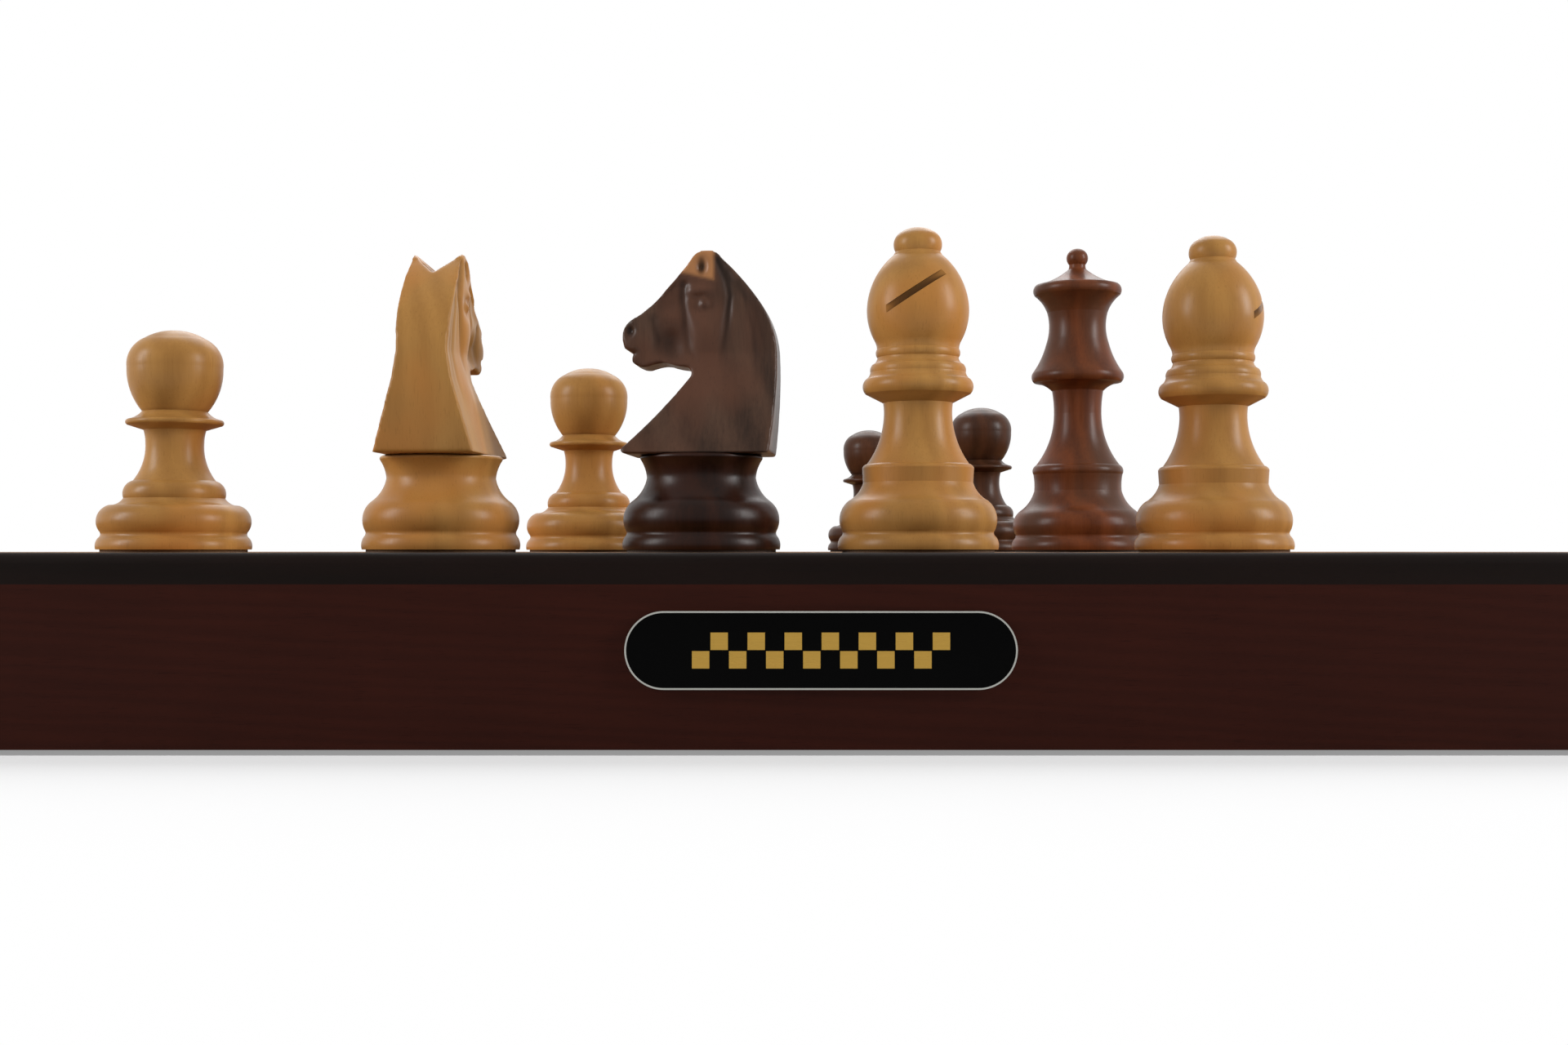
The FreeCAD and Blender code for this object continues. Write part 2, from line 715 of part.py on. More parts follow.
def make_top():
    """The routed top board with its squares, stringing and light pipes."""
    seat_side = f"(2 * ({FIELD_HALF} + stringing_width))"
    seat = middle_box(
        "field_seat", seat_side, seat_side, "square_thickness", "0", "0", f"{TOP} - square_thickness",
    )
    panel_seat = middle_box(
        "panel_seat", "panel_width + 2 * fit_gap", "panel_length + 2 * fit_gap", "panel_thickness",
        PANEL_X, PANEL_Y, PANEL_UNDER,
    )
    panel_slot = middle_box(
        "panel_slot", "panel_width - 2 * panel_ledge", "panel_length - 2 * panel_ledge",
        "2 * top_thickness", PANEL_X, PANEL_Y, f"{RAIL_TOP} - top_thickness / 2",
    )
    pipe_holes, square_holes, pipes, pockets = [], [], [], []
    for file, rank, x, y in led_spots():
        spot = f"{file}_{rank}"
        pocket_top = f"({RAIL_TOP} + led_pocket_depth)"
        hole = "led_pipe_radius + led_pipe_gap"
        pockets.append(
            cylinder(f"led_pocket_{spot}", "led_pocket_radius", "led_pocket_depth", x, y, RAIL_TOP),
        )
        pipe_holes.append(cylinder(f"pipe_hole_{spot}", hole, "top_thickness", x, y, RAIL_TOP))
        square_holes.append(cylinder(f"square_hole_{spot}", hole, "top_thickness", x, y, RAIL_TOP))
        pipes.append(cylinder(f"pipe_{spot}", "led_pipe_radius", f"{TOP} - {pocket_top}", x, y, pocket_top))
    screw_holes = [
        cylinder(
            f"top_pilot_{n}", "board_screw_radius + screw_hole_gap", "board_screw_bite", x, y, RAIL_TOP,
        )
        for n, (x, y) in enumerate(sensor_screw_spots() + key_circuit_screw_spots())
    ]
    board = cut("top_with_seats", top_blank(), group("top_seats", [seat, panel_seat]))
    board = cut("top_with_slot", board, panel_slot)
    board = cut("top_with_pipe_holes", board, group("pipe_holes", pipe_holes))
    board = cut("top_with_led_pockets", board, group("led_pockets", pockets))
    keep("top_board", cut("top_with_pilots", board, group("top_pilots", screw_holes)))
    keep("light_pipes", group("light_pipe_set", pipes))
    holes = group("square_holes", square_holes)
    for label, shade in (("light_squares", 1), ("dark_squares", 0)):
        tiles = [
            middle_box(
                f"square_{file}_{rank}", "square_size", "square_size", "square_thickness",
                square_centre(file), square_centre(rank), f"{TOP} - square_thickness",
            )
            for file in range(1, SQUARES_A_SIDE + 1)
            for rank in range(1, SQUARES_A_SIDE + 1)
            if (file + rank) % 2 == shade
        ]
        keep(label, cut(f"{label}_drilled", group(f"{label}_set", tiles), holes))
    keep("field_stringing", group("stringing_set", [stringing_strip(side) for side in range(4)]))


def stringing_strip(side):
    """One mitred strip of the line round the squares."""
    body = doc.addObject("PartDesign::Body", f"stringing_{side}")
    sketch = sketch_on(body, f"stringing_{side}_plan", "XY_Plane")
    outer = f"({FIELD_HALF} + stringing_width)"
    corners = [
        (f"-{outer}", f"-{outer}", "0"),
        (outer, f"-{outer}", "0"),
        (FIELD_HALF, f"-{FIELD_HALF}", "0"),
        (f"-{FIELD_HALF}", f"-{FIELD_HALF}", "0"),
    ]
    draw_outline(sketch, corners)
    pad(body, sketch, "square_thickness")
    body.Placement.Rotation = FreeCAD.Rotation(FreeCAD.Vector(0, 0, 1), 90.0 * side)
    return bind(body, z=f"{TOP} - square_thickness")


# The nameplate on the front rail: a bright metal rim round a black face.


def slot_plate(label, length, height, thickness, front):
    """A round-ended plate that stands on the front rail, its back on the plane that front names."""
    body = doc.addObject("PartDesign::Body", f"{label}_body")
    sketch = sketch_on(body, f"{label}_outline", "XZ_Plane")
    slot_outline(sketch, length, height)
    pad(body, sketch, thickness)
    return bind(body, y=f"-({front})", z=f"{TOP} - plate_drop")


def slot_outline(sketch, length, height):
    """A round-ended slot about the sketch's origin."""
    straight = f"((({length}) - ({height})) / 2)"
    half = f"(({height}) / 2)"
    tip = f"(({length}) / 2)"
    quarter_bulge = f"({half} * (1 - sqrt(0.5)))"
    corners = [
        (f"-{straight}", f"-{half}", quarter_bulge),
        (straight, f"-{half}", "0"),
        (tip, "0", quarter_bulge),
        (straight, half, quarter_bulge),
        (f"-{straight}", half, "0"),
        (f"-{tip}", "0", quarter_bulge),
    ]
    draw_outline(sketch, corners)


def make_nameplate():
    """The rim with its sunk seat, and the face that fills it."""
    rim = slot_plate("plate_rim", "plate_length", "plate_height", "plate_thickness", HALF)
    seat_plane = "plate_thickness - plate_face_depth"
    seat = sketch_on(rim, "plate_seat", "XZ_Plane", z=seat_plane)
    inner = ("plate_length - 2 * plate_rim", "plate_height - 2 * plate_rim")
    slot_outline(seat, *inner)
    pocket(rim, seat, towards_normal=True)
    keep("nameplate_rim", rim)
    keep("nameplate_face", slot_plate("plate_face", *inner, "plate_face_depth", f"{HALF} + {seat_plane}"))


# The key panel let into the right border: its plate, window, display, keys and circuit board.

PANEL_Y = "(panel_length / 2 - panel_near_end)"
WINDOW_Y = "(window_distance - panel_near_end)"


def key_spots():
    """The places of the keys, from the near end of the panel."""
    return [(key, f"(key_first + {n} * key_pitch - panel_near_end)") for n, key in enumerate(KEYS)]


def make_panel():
    """The plate with its key holes, and the window that fills its long opening."""
    blank = middle_box(
        "panel_blank", "panel_width", "panel_length", "panel_thickness", PANEL_X, PANEL_Y, PANEL_UNDER,
    )
    holes = [
        cylinder(
            f"{key}_hole", "key_radius + key_gap", "3 * panel_thickness", PANEL_X, y,
            f"{PANEL_UNDER} - panel_thickness",
        )
        for key, y in key_spots()
    ]
    holes.append(
        middle_box("window_hole", "window_width", "window_length", "3 * panel_thickness", PANEL_X, WINDOW_Y,
                   f"{PANEL_UNDER} - panel_thickness")
    )
    keep("key_panel", cut("key_panel_drilled", blank, group("panel_holes", holes)))
    keep(
        "display_window",
        middle_box(
            "window", "window_width - fit_gap", "window_length - fit_gap", "panel_thickness", PANEL_X,
            WINDOW_Y, PANEL_UNDER,
        ),
    )
    keep(
        "display_module",
        middle_box(
            "display", "display_width", "display_length", f"{PANEL_UNDER} - {KEY_CIRCUIT_TOP}", PANEL_X,
            WINDOW_Y, KEY_CIRCUIT_TOP,
        ),
    )


def make_key(label, y):
    """A round key with a rounded edge, the flange that keeps it in and the stem that works its switch."""
    body = doc.addObject("PartDesign::Body", f"{label}_body")
    sketch = sketch_on(body, f"{label}_outline", "XZ_Plane")
    stem_foot = f"({SWITCH_TOP} - key_stem_entry)"
    flange = f"({KEY_FLANGE_FLOOR} - {stem_foot})"
    flange_top = f"({flange} + key_flange_thickness)"
    shoulder = f"({TOP} + key_proud - key_rounding - {stem_foot})"
    corners = [
        ("0", "0", "0"),
        ("key_stem_radius", "0", "0"),
        ("key_stem_radius", flange, "0"),
        ("key_flange_radius", flange, "0"),
        ("key_flange_radius", flange_top, "0"),
        ("key_radius", flange_top, "0"),
        ("key_radius", shoulder, "0"),
        ("key_radius - key_rounding", f"({shoulder} + key_rounding)", "key_rounding * (1 - sqrt(0.5))"),
        ("0", f"({shoulder} + key_rounding)", "0"),
    ]
    draw_outline(sketch, corners)
    revolve(body, sketch)
    keep(label, bind(body, x=PANEL_X, y=y, z=stem_foot))


def revolve(body, sketch):
    """A sketch turned about its own upright axis."""
    turned = body.newObject("PartDesign::Revolution", f"{sketch.Name}_turned")
    turned.Profile = sketch
    turned.ReferenceAxis = (sketch, ["V_Axis"])
    turned.Angle = 360.0
    return turned


def key_circuit_screw_spots():
    """Where the key circuit board is screwed up to the top board, clear of the panel's slot."""
    side = "(key_circuit_width / 2 - board_screw_head_radius)"
    end = "(panel_length / 2 + key_circuit_margin - board_screw_head_radius)"
    return [(f"{PANEL_X} + {sx} * {side}", f"{PANEL_Y} + {sy} * {end}") for sx in (-1, 1) for sy in (-1, 1)]


def make_key_circuit():
    """The board under the key panel with the switch under every key and the plug of its ribbon."""
    length = "panel_length + 2 * key_circuit_margin"
    blank = middle_box(
        "key_circuit_blank", "key_circuit_width", length, "circuit_thickness", PANEL_X, PANEL_Y,
        f"{KEY_CIRCUIT_TOP} - circuit_thickness",
    )
    holes = [
        cylinder(f"key_circuit_hole_{n}", "board_screw_radius + screw_hole_gap", "6 * circuit_thickness", x, y,
                 f"{KEY_CIRCUIT_TOP} - 3 * circuit_thickness")
        for n, (x, y) in enumerate(key_circuit_screw_spots())
    ]
    solids = [cut("key_circuit_drilled", blank, group("key_circuit_holes", holes))]
    for key, y in key_spots():
        case = middle_box(
            f"{key}_switch_case", "switch_side", "switch_side", "switch_height", PANEL_X, y, KEY_CIRCUIT_TOP,
        )
        bore = cylinder(
            f"{key}_switch_bore", "key_stem_radius + switch_stem_gap", "switch_height", PANEL_X, y,
            f"{SWITCH_TOP} - key_stem_entry - key_travel - switch_clearance",
        )
        solids.append(cut(f"{key}_switch", case, bore))
    solids.append(
        middle_box("panel_header", "panel_ribbon_width", "header_depth", "header_height", PANEL_RIBBON_X,
                   f"{PANEL_FAR} - header_depth", f"{KEY_CIRCUIT_TOP} - circuit_thickness - header_height")
    )
    keep("key_circuit", group("key_circuit_set", solids))


PANEL_FAR = "(panel_length - panel_near_end)"
PANEL_RIBBON_X = f"({FIELD_HALF} + panel_ribbon_width / 2 + panel_ledge)"


# The sensor board under the squares and the main board with the computer.


def sensor_screw_spots():
    """Where the sensor board is screwed up to the top board: on the lines between squares."""
    lines = ("-3 * square_size", "0 * square_size", "3 * square_size")
    return [(x, y) for x in lines for y in lines]


def make_sensor_board():
    """The circuit board under the squares, with a light under every pipe and the plug of its ribbon."""
    side = f"(2 * {FIELD_HALF})"
    under = f"({RAIL_TOP} - circuit_thickness)"
    blank = middle_box("sensor_blank", side, side, "circuit_thickness", "0", "0", under)
    holes = [
        cylinder(f"sensor_hole_{n}", "board_screw_radius + screw_hole_gap", "3 * circuit_thickness", x, y,
                 f"{under} - circuit_thickness")
        for n, (x, y) in enumerate(sensor_screw_spots())
    ]
    solids = [cut("sensor_drilled", blank, group("sensor_holes", holes))]
    for file, rank, x, y in led_spots():
        solids.append(
            middle_box(f"led_{file}_{rank}", "led_side", "led_side", "led_height", x, y, RAIL_TOP),
        )
    solids.append(
        middle_box("sensor_header", "ribbon_width", "header_depth", "header_height", "main_circuit_x",
                   f"{SENSOR_HEADER_Y} - header_depth / 2", f"{under} - header_height")
    )
    keep("sensor_board", group("sensor_set", solids))


MAIN_FRONT = f"({MAIN_BACK} - main_circuit_width)"
SENSOR_HEADER_Y = f"({MAIN_FRONT} - 2 * ribbon_run)"
RIBBON_LOW = f"({MAIN_TOP} + header_height / 2)"
RIBBON_HIGH = f"({RAIL_TOP} - circuit_thickness - header_height / 2)"


def main_screw_spots():
    """Where the main board is screwed to its standoffs."""
    side = "(main_circuit_length / 2 - standoff_inset)"
    rows = (f"{MAIN_FRONT} + standoff_inset", f"{MAIN_BACK} - standoff_inset")
    return [(f"main_circuit_x + {sx} * {side}", y) for sx in (-1, 1) for y in rows]


def main_circuit():
    """The main board's outline, with the tongue that carries the connectors into the back rail."""
    body = doc.addObject("PartDesign::Body", "main_blank")
    sketch = sketch_on(body, "main_plan", "XY_Plane")
    half, tongue = "(main_circuit_length / 2)", "(tongue_width / 2)"
    reach = f"({MAIN_BACK} + tongue_reach)"
    corners = [
        (f"-{half}", MAIN_FRONT, "0"),
        (half, MAIN_FRONT, "0"),
        (half, MAIN_BACK, "0"),
        (tongue, MAIN_BACK, "0"),
        (tongue, reach, "0"),
        (f"-{tongue}", reach, "0"),
        (f"-{tongue}", MAIN_BACK, "0"),
        (f"-{half}", MAIN_BACK, "0"),
    ]
    draw_outline(sketch, corners)
    pad(body, sketch, "circuit_thickness")
    return bind(body, x="main_circuit_x", z=f"{MAIN_TOP} - circuit_thickness")


def heat_sink():
    """A finned block on top of the processor."""
    x, y = "main_circuit_x", f"{MAIN_FRONT} + main_circuit_width / 2"
    foot = f"({MAIN_TOP} + processor_height)"
    members = [middle_box("heat_sink_foot", "heat_sink_side", "heat_sink_side", "heat_sink_base", x, y, foot)]
    fins = int(value("heat_sink_side / heat_sink_pitch"))
    for n in range(fins):
        fin_x = f"{x} + ({n} - {(fins - 1) / 2}) * heat_sink_pitch"
        members.append(
            middle_box(f"heat_sink_fin_{n}", "heat_sink_fin", "heat_sink_side",
                       "heat_sink_base + heat_sink_fin_height", fin_x, y, foot)
        )
    return fuse("heat_sink", members)


def usb_socket():
    """An open metal shell with the contact tongue inside, its mouth level with the port plate."""
    x, foot = "main_circuit_x + usb_x", MAIN_TOP
    back = f"({PLATE_OUTER} - usb_depth)"
    half = "usb_length / 2"
    shell = box("usb_shell", "usb_length", "usb_depth", "usb_height", f"{x} - {half}", back, foot)
    room = box(
        "usb_room", "usb_length - 2 * usb_wall", "usb_depth", "usb_height - 2 * usb_wall",
        f"{x} - {half} + usb_wall", f"{back} + 3 * usb_wall", f"{foot} + usb_wall",
    )
    tongue = box(
        "usb_tongue", "usb_length * 0.7", "usb_depth - 6 * usb_wall", "usb_tongue_thickness",
        f"{x} - usb_length * 0.35", f"{back} + 2 * usb_wall",
        f"{foot} + usb_height / 2 - usb_tongue_thickness / 2",
    )
    return fuse("usb_socket", [cut("usb_case", shell, room), tongue])


def switch_case():
    """The body of the power switch, open towards the back for its slider."""
    x = "main_circuit_x + switch_x"
    face = f"({PLATE_OUTER} - port_plate_thickness - fit_gap)"
    case = box(
        "switch_case", "switch_case_length", "switch_case_depth", "switch_case_height",
        f"{x} - switch_case_length / 2", f"{face} - switch_case_depth", MAIN_TOP,
    )
    slot = box(
        "switch_case_slot", "switch_slot_length", "2 * switch_slot_depth", "switch_slot_height",
        f"{x} - switch_slot_length / 2", f"{face} - switch_slot_depth",
        f"{SWITCH_MID} - switch_slot_height / 2",
    )
    return cut("switch_case_slotted", case, slot)


def make_main_board():
    """The computer: its board with processor, heat sink, sockets, switch and ribbon headers."""
    holes = [
        cylinder(f"main_hole_{n}", "board_screw_radius + screw_hole_gap", "3 * circuit_thickness", x, y,
                 f"{MAIN_TOP} - 2 * circuit_thickness")
        for n, (x, y) in enumerate(main_screw_spots())
    ]
    middle_y = f"{MAIN_FRONT} + main_circuit_width / 2"
    chip = middle_box(
        "processor", "processor_side", "processor_side", "processor_height", "main_circuit_x", middle_y,
        MAIN_TOP,
    )
    front_header = middle_box(
        "main_header", "ribbon_width", "header_depth", "header_height", "main_circuit_x",
        f"{MAIN_FRONT} + header_depth / 2", MAIN_TOP,
    )
    side_header = middle_box(
        "main_side_header", "header_depth", "panel_ribbon_width", "header_height", SIDE_HEADER_X,
        SIDE_HEADER_Y, MAIN_TOP,
    )
    board = cut("main_drilled", main_circuit(), group("main_holes", holes))
    solids = [board, chip, heat_sink(), usb_socket(), switch_case(), front_header, side_header]
    keep("main_board", group("main_set", solids))


SIDE_HEADER_X = "(main_circuit_x + main_circuit_length / 2 - header_depth / 2)"
SIDE_HEADER_Y = f"({MAIN_FRONT} + main_circuit_width / 3)"


def make_ports():
    """The plate round the sockets at the back, and the slider of the power switch."""
    blank = box(
        "port_blank", "port_plate_length", "port_plate_thickness", "port_plate_height",
        "main_circuit_x - port_plate_length / 2", f"{PLATE_OUTER} - port_plate_thickness", PORT_PLATE_FOOT,
    )
    deep = "4 * port_plate_thickness"
    usb_hole = middle_box(
        "usb_hole", "usb_length + 2 * fit_gap", deep, "usb_height + 2 * fit_gap", "main_circuit_x + usb_x",
        PLATE_OUTER, f"{MAIN_TOP} - fit_gap",
    )
    slider_hole = middle_box(
        "slider_hole", "switch_slot_length", deep, "switch_slot_height", "main_circuit_x + switch_x",
        PLATE_OUTER, f"{SWITCH_MID} - switch_slot_height / 2",
    )
    keep("port_plate", cut("port_plate_pierced", blank, group("port_holes", [usb_hole, slider_hole])))
    back = f"({PLATE_OUTER} - port_plate_thickness - switch_slot_depth)"
    keep(
        "power_slider",
        box(
            "slider", "slider_length", f"{PLATE_OUTER} + slider_proud - {back}",
            "switch_slot_height - 2 * fit_gap",
            "main_circuit_x + switch_x - slider_travel / 2 - slider_length / 2", back,
            f"{SWITCH_MID} - switch_slot_height / 2 + fit_gap",
        ),
    )


def make_ribbons():
    """The flat cables from the main board: one up to the sensor board, one to the key panel."""
    half = "ribbon_width / 2"
    x = f"main_circuit_x - {half}"
    turn_y = f"({MAIN_FRONT} - ribbon_run)"
    low = box("ribbon_low", "ribbon_width", "ribbon_run", "ribbon_thickness", x, turn_y, RIBBON_LOW)
    rise = box(
        "ribbon_rise", "ribbon_width", "ribbon_thickness", f"{RIBBON_HIGH} - {RIBBON_LOW}", x, turn_y,
        RIBBON_LOW,
    )
    high = box(
        "ribbon_high", "ribbon_width", f"{turn_y} - {SENSOR_HEADER_Y} + ribbon_thickness", "ribbon_thickness",
        x, SENSOR_HEADER_Y, RIBBON_HIGH,
    )
    sensor_ribbon = fuse("sensor_ribbon", [low, rise, high])
    run_z = f"({KEY_CIRCUIT_TOP} - circuit_thickness - header_height / 2)"
    run_x = f"{PANEL_RIBBON_X} - panel_ribbon_width / 2"
    run_end = f"({SIDE_HEADER_Y} + panel_ribbon_width / 2)"
    start = f"({PANEL_FAR} - header_depth / 2)"
    run = box(
        "panel_ribbon_run", "panel_ribbon_width", f"{run_end} - {start}", "ribbon_thickness", run_x,
        start, run_z,
    )
    drop = box(
        "panel_ribbon_drop", "panel_ribbon_width", "ribbon_thickness", f"{run_z} - {RIBBON_LOW}", run_x,
        f"{run_end} - ribbon_thickness", RIBBON_LOW,
    )
    edge = f"({SIDE_HEADER_X} + header_depth / 2)"
    across = box(
        "panel_ribbon_across", f"{run_x} + panel_ribbon_width - {edge}", "panel_ribbon_width",
        "ribbon_thickness",
        edge, f"{run_end} - panel_ribbon_width", RIBBON_LOW,
    )
    keep("ribbon_cables", group("ribbons", [sensor_ribbon, fuse("panel_ribbon", [run, drop, across])]))


def board_screw(name, x, y, seat, length, upwards):
    """A pan-headed screw whose head rests on seat, driven up or down."""
    head_z = f"{seat} - board_screw_head_height" if upwards else seat
    shank_z = seat if upwards else f"{seat} - ({length})"
    head = cylinder(f"{name}_head", "board_screw_head_radius", "board_screw_head_height", x, y, head_z)
    shank = cylinder(f"{name}_shank", "board_screw_radius", length, x, y, shank_z)
    return fuse(name, [head, shank])


def make_board_fixings():
    """The screws of the three circuit boards and the sleeves that hold two of them off."""
    screws, sleeves = [], []
    bore = "board_screw_radius + screw_hole_gap"
    for n, (x, y) in enumerate(sensor_screw_spots()):
        length = "circuit_thickness + board_screw_bite"
        screws.append(
            board_screw(f"sensor_screw_{n}", x, y, f"({RAIL_TOP} - circuit_thickness)", length, True),
        )
    for n, (x, y) in enumerate(key_circuit_screw_spots()):
        seat = f"({KEY_CIRCUIT_TOP} - circuit_thickness)"
        length = f"{RAIL_TOP} - {seat} + board_screw_bite"
        screws.append(board_screw(f"key_circuit_screw_{n}", x, y, seat, length, True))
        height = f"{RAIL_TOP} - {KEY_CIRCUIT_TOP}"
        outer = cylinder(f"sleeve_{n}", "board_screw_head_radius", height, x, y, KEY_CIRCUIT_TOP)
        sleeves.append(
            cut(
                f"sleeve_bored_{n}", outer,
                cylinder(f"sleeve_bore_{n}", bore, height, x, y, KEY_CIRCUIT_TOP),
            ),
        )
    for n, (x, y) in enumerate(main_screw_spots()):
        screws.append(
            board_screw(f"main_screw_{n}", x, y, MAIN_TOP, "circuit_thickness + board_screw_bite", False),
        )
        post = cylinder(f"standoff_{n}", "standoff_radius", "standoff_height", x, y, BASE_TOP)
        post_bore = cylinder(f"standoff_bore_{n}", bore, "standoff_height", x, y, BASE_TOP)
        sleeves.append(cut(f"standoff_bored_{n}", post, post_bore))
    keep("board_screws", group("board_screw_set", screws))
    keep("standoffs", group("standoff_set", sleeves))


def make_speaker():
    """A small loudspeaker that stands on the base panel over the sound holes."""
    basket = cone(
        "speaker_basket", "speaker_radius", "speaker_magnet_radius", "speaker_height", "speaker_x",
        "speaker_y", BASE_TOP,
    )
    magnet = cylinder(
        "speaker_magnet", "speaker_magnet_radius", "speaker_height + speaker_magnet_height",
        "speaker_x", "speaker_y", BASE_TOP,
    )
    keep("loudspeaker", fuse("speaker", [basket, magnet]))


# The chess pieces: each a turned or carved wooden body bored for its ballast and coil, over a disc of felt.


def turned_corners(kind, outline):
    """The corners of a turned outline, from the middle of the foot to the middle of the top and back."""
    corners = [("0", "0", "0")]
    height = "0"
    for turning, (rise, radius, bulge) in outline.items():
        name = f"{kind}_{turning}"
        height = f"{height} + {name}_rise" if rise else height
        across = f"{name}_radius" if radius else "0"
        corners.append((across, f"({height})", f"{name}_bulge" if bulge else "0"))
    return corners, f"({height})"


def core_depth():
    """How deep the bore for the coil and the ballast is."""
    return "(coil_height + ballast_height + 2 * core_gap)"


def bore_core(body, kind):
    """Bores the foot for the coil and the ballast."""
    sketch = sketch_on(body, f"{body.Name}_core", "XY_Plane")
    sketch.addGeometry(
        Part.Circle(FreeCAD.Vector(), FreeCAD.Vector(0, 0, 1), value(f"{kind}_core_radius")), False,
    )
    sketch.addConstraint(Sketcher.Constraint("Coincident", 0, 3, -1, 1))
    hold(sketch, Sketcher.Constraint("Radius", 0, value(f"{kind}_core_radius")), f"{kind}_core_radius")
    return pocket(body, sketch, core_depth(), towards_normal=True)


def cut_slit(body):
    """The slanting saw cut in the front of a bishop's head."""
    sketch = sketch_on(
        body, f"{body.Name}_slit", "XZ_Plane", y="bishop_slit_height - felt_thickness", z="bishop_slit_floor",
    )
    turn = math.radians(value("bishop_slit_rise"))
    along = FreeCAD.Vector(math.cos(turn), math.sin(turn), 0) * value("bishop_slit_reach")
    side = FreeCAD.Vector(-math.sin(turn), math.cos(turn), 0) * (value("bishop_slit_width") / 2)
    spots = [side - along, -along - side, along - side, along + side]
    for start, end in zip(spots, spots[1:] + spots[:1]):
        sketch.addGeometry(Part.LineSegment(start, end), False)
    for edge in range(4):
        sketch.addConstraint(Sketcher.Constraint("Coincident", edge, 2, (edge + 1) % 4, 1))
    sketch.addConstraint(Sketcher.Constraint("Symmetric", 0, 1, 1, 2, -1, 1))
    sketch.addConstraint(Sketcher.Constraint("Perpendicular", 0, 1))
    sketch.addConstraint(Sketcher.Constraint("Parallel", 1, 3))
    sketch.addConstraint(Sketcher.Constraint("Parallel", 0, 2))
    hold(sketch, Sketcher.Constraint("Distance", 0, value("bishop_slit_width")), "bishop_slit_width")
    hold(
        sketch, Sketcher.Constraint("Distance", 1, 2 * value("bishop_slit_reach")), "2 * bishop_slit_reach",
    )
    hold(sketch, Sketcher.Constraint("Angle", -1, 1, 1, 1, turn), "bishop_slit_rise")
    return pocket(body, sketch, towards_normal=True)


def carve_head(body, seat):
    """The horse's head: its side outline raised to both sides, then narrowed from front and top."""
    side = sketch_on(body, f"{body.Name}_side", "XZ_Plane", y=f"{seat} - core_gap")
    corners = [(f"horse_{n}_ahead", f"horse_{n}_height", f"horse_{n}_bulge" if b else "0")
               for n, (_, _, b) in KNIGHT_HEAD_OUTLINE.items()]
    draw_outline(
        side, [(across, up if value(up) else "0", bulge) for across, up, bulge in reversed_outline(corners)],
    )
    widest = "(horse_front_seat_half + core_gap)"
    pad(body, side, f"2 * {widest}", symmetric=True)
    doc.recompute()
    for hand in ("", "-"):
        front = sketch_on(body, f"{body.Name}_front{hand.replace('-', '_left')}", "YZ_Plane", y=seat)
        levels = [f"horse_front_{level}" for level in KNIGHT_FRONT_OUTLINE]
        slope = [(f"{hand}{level}_half", f"{level}_height", "0") for level in levels]
        outside = f"{hand}(2 * {widest})"
        draw_outline(front, [(outside, slope[0][1], "0")] + slope + [(outside, slope[-1][1], "0")])
        pocket(body, front, both_ways=True)
        taper = sketch_on(
            body, f"{body.Name}_plan{hand.replace('-', '_left')}", "XY_Plane",
            z=f"{seat} + knight_jaw_height",
        )
        nose = "(horse_nose_ahead + knight_muzzle_half_width)"
        plan = [
            ("knight_cheek_reach", f"{hand}knight_cheek_half_width", "0"),
            (nose, f"{hand}knight_muzzle_half_width", "0"),
            (nose, outside, "0"),
            ("knight_cheek_reach", outside, "0"),
        ]
        draw_outline(taper, plan)
        pocket(body, taper, towards_normal=True)
    notch = sketch_on(
        body, f"{body.Name}_notch", "YZ_Plane", y=f"{seat} + horse_ear_height + horse_ear_bulge / 2",
    )
    spread = "(2 * knight_ear_half_spread)"
    deep = "knight_ear_notch_depth"
    draw_outline(notch, [("0", f"-{deep}", "0"), (spread, deep, "0"), (f"-{spread}", deep, "0")])
    pocket(body, notch, both_ways=True)


def reversed_outline(corners):
    """The same outline run the other way round, with each bulge on the edge that leads to its corner."""
    bulges = [bulge for _, _, bulge in corners]
    turned_round = []
    for index in range(len(corners) - 1, -1, -1):
        across, up, _ = corners[index]
        turned_round.append((across, up, bulges[(index + 1) % len(corners)]))
    return turned_round


def make_piece(name, kind, file, rank):
    """One chess piece on its square."""
    body = doc.addObject("PartDesign::Body", f"{name}_wood")
    sketch = sketch_on(body, f"{name}_outline", "XZ_Plane")
    corners, seat = turned_corners(kind, TURNED[kind])
    draw_outline(sketch, corners)
    revolve(body, sketch)
    if kind == "knight":
        carve_head(body, seat)
    doc.recompute()
    bore_core(body, kind)
    if kind == "bishop":
        cut_slit(body)
    x = f"{square_centre(file)} + {name}_right"
    y = f"{square_centre(rank)} + {name}_away"
    body.Placement.Rotation = FreeCAD.Rotation(FreeCAD.Vector(0, 0, 1), value(f"{name}_facing"))
    keep(name, bind(body, x=x, y=y, z=f"{TOP} + felt_thickness"))
    felt = cylinder(f"{name}_disc", f"{kind}_foot_radius - felt_inset", "felt_thickness", x, y, TOP)
    keep(f"{name}_felt", felt)
    core = f"({kind}_core_radius - core_gap)"
    foot = f"({TOP} + felt_thickness)"
    ring = cylinder(f"{name}_ring", core, "coil_height", x, y, foot)
    ring_bore = cylinder(f"{name}_ring_bore", f"{core} - coil_wall", "coil_height", x, y, foot)
    slug = cylinder(f"{name}_slug", core, "ballast_height", x, y, f"{foot} + coil_height")
    keep(f"{name}_coil", group(f"{name}_core_set", [cut(f"{name}_winding", ring, ring_bore), slug]))


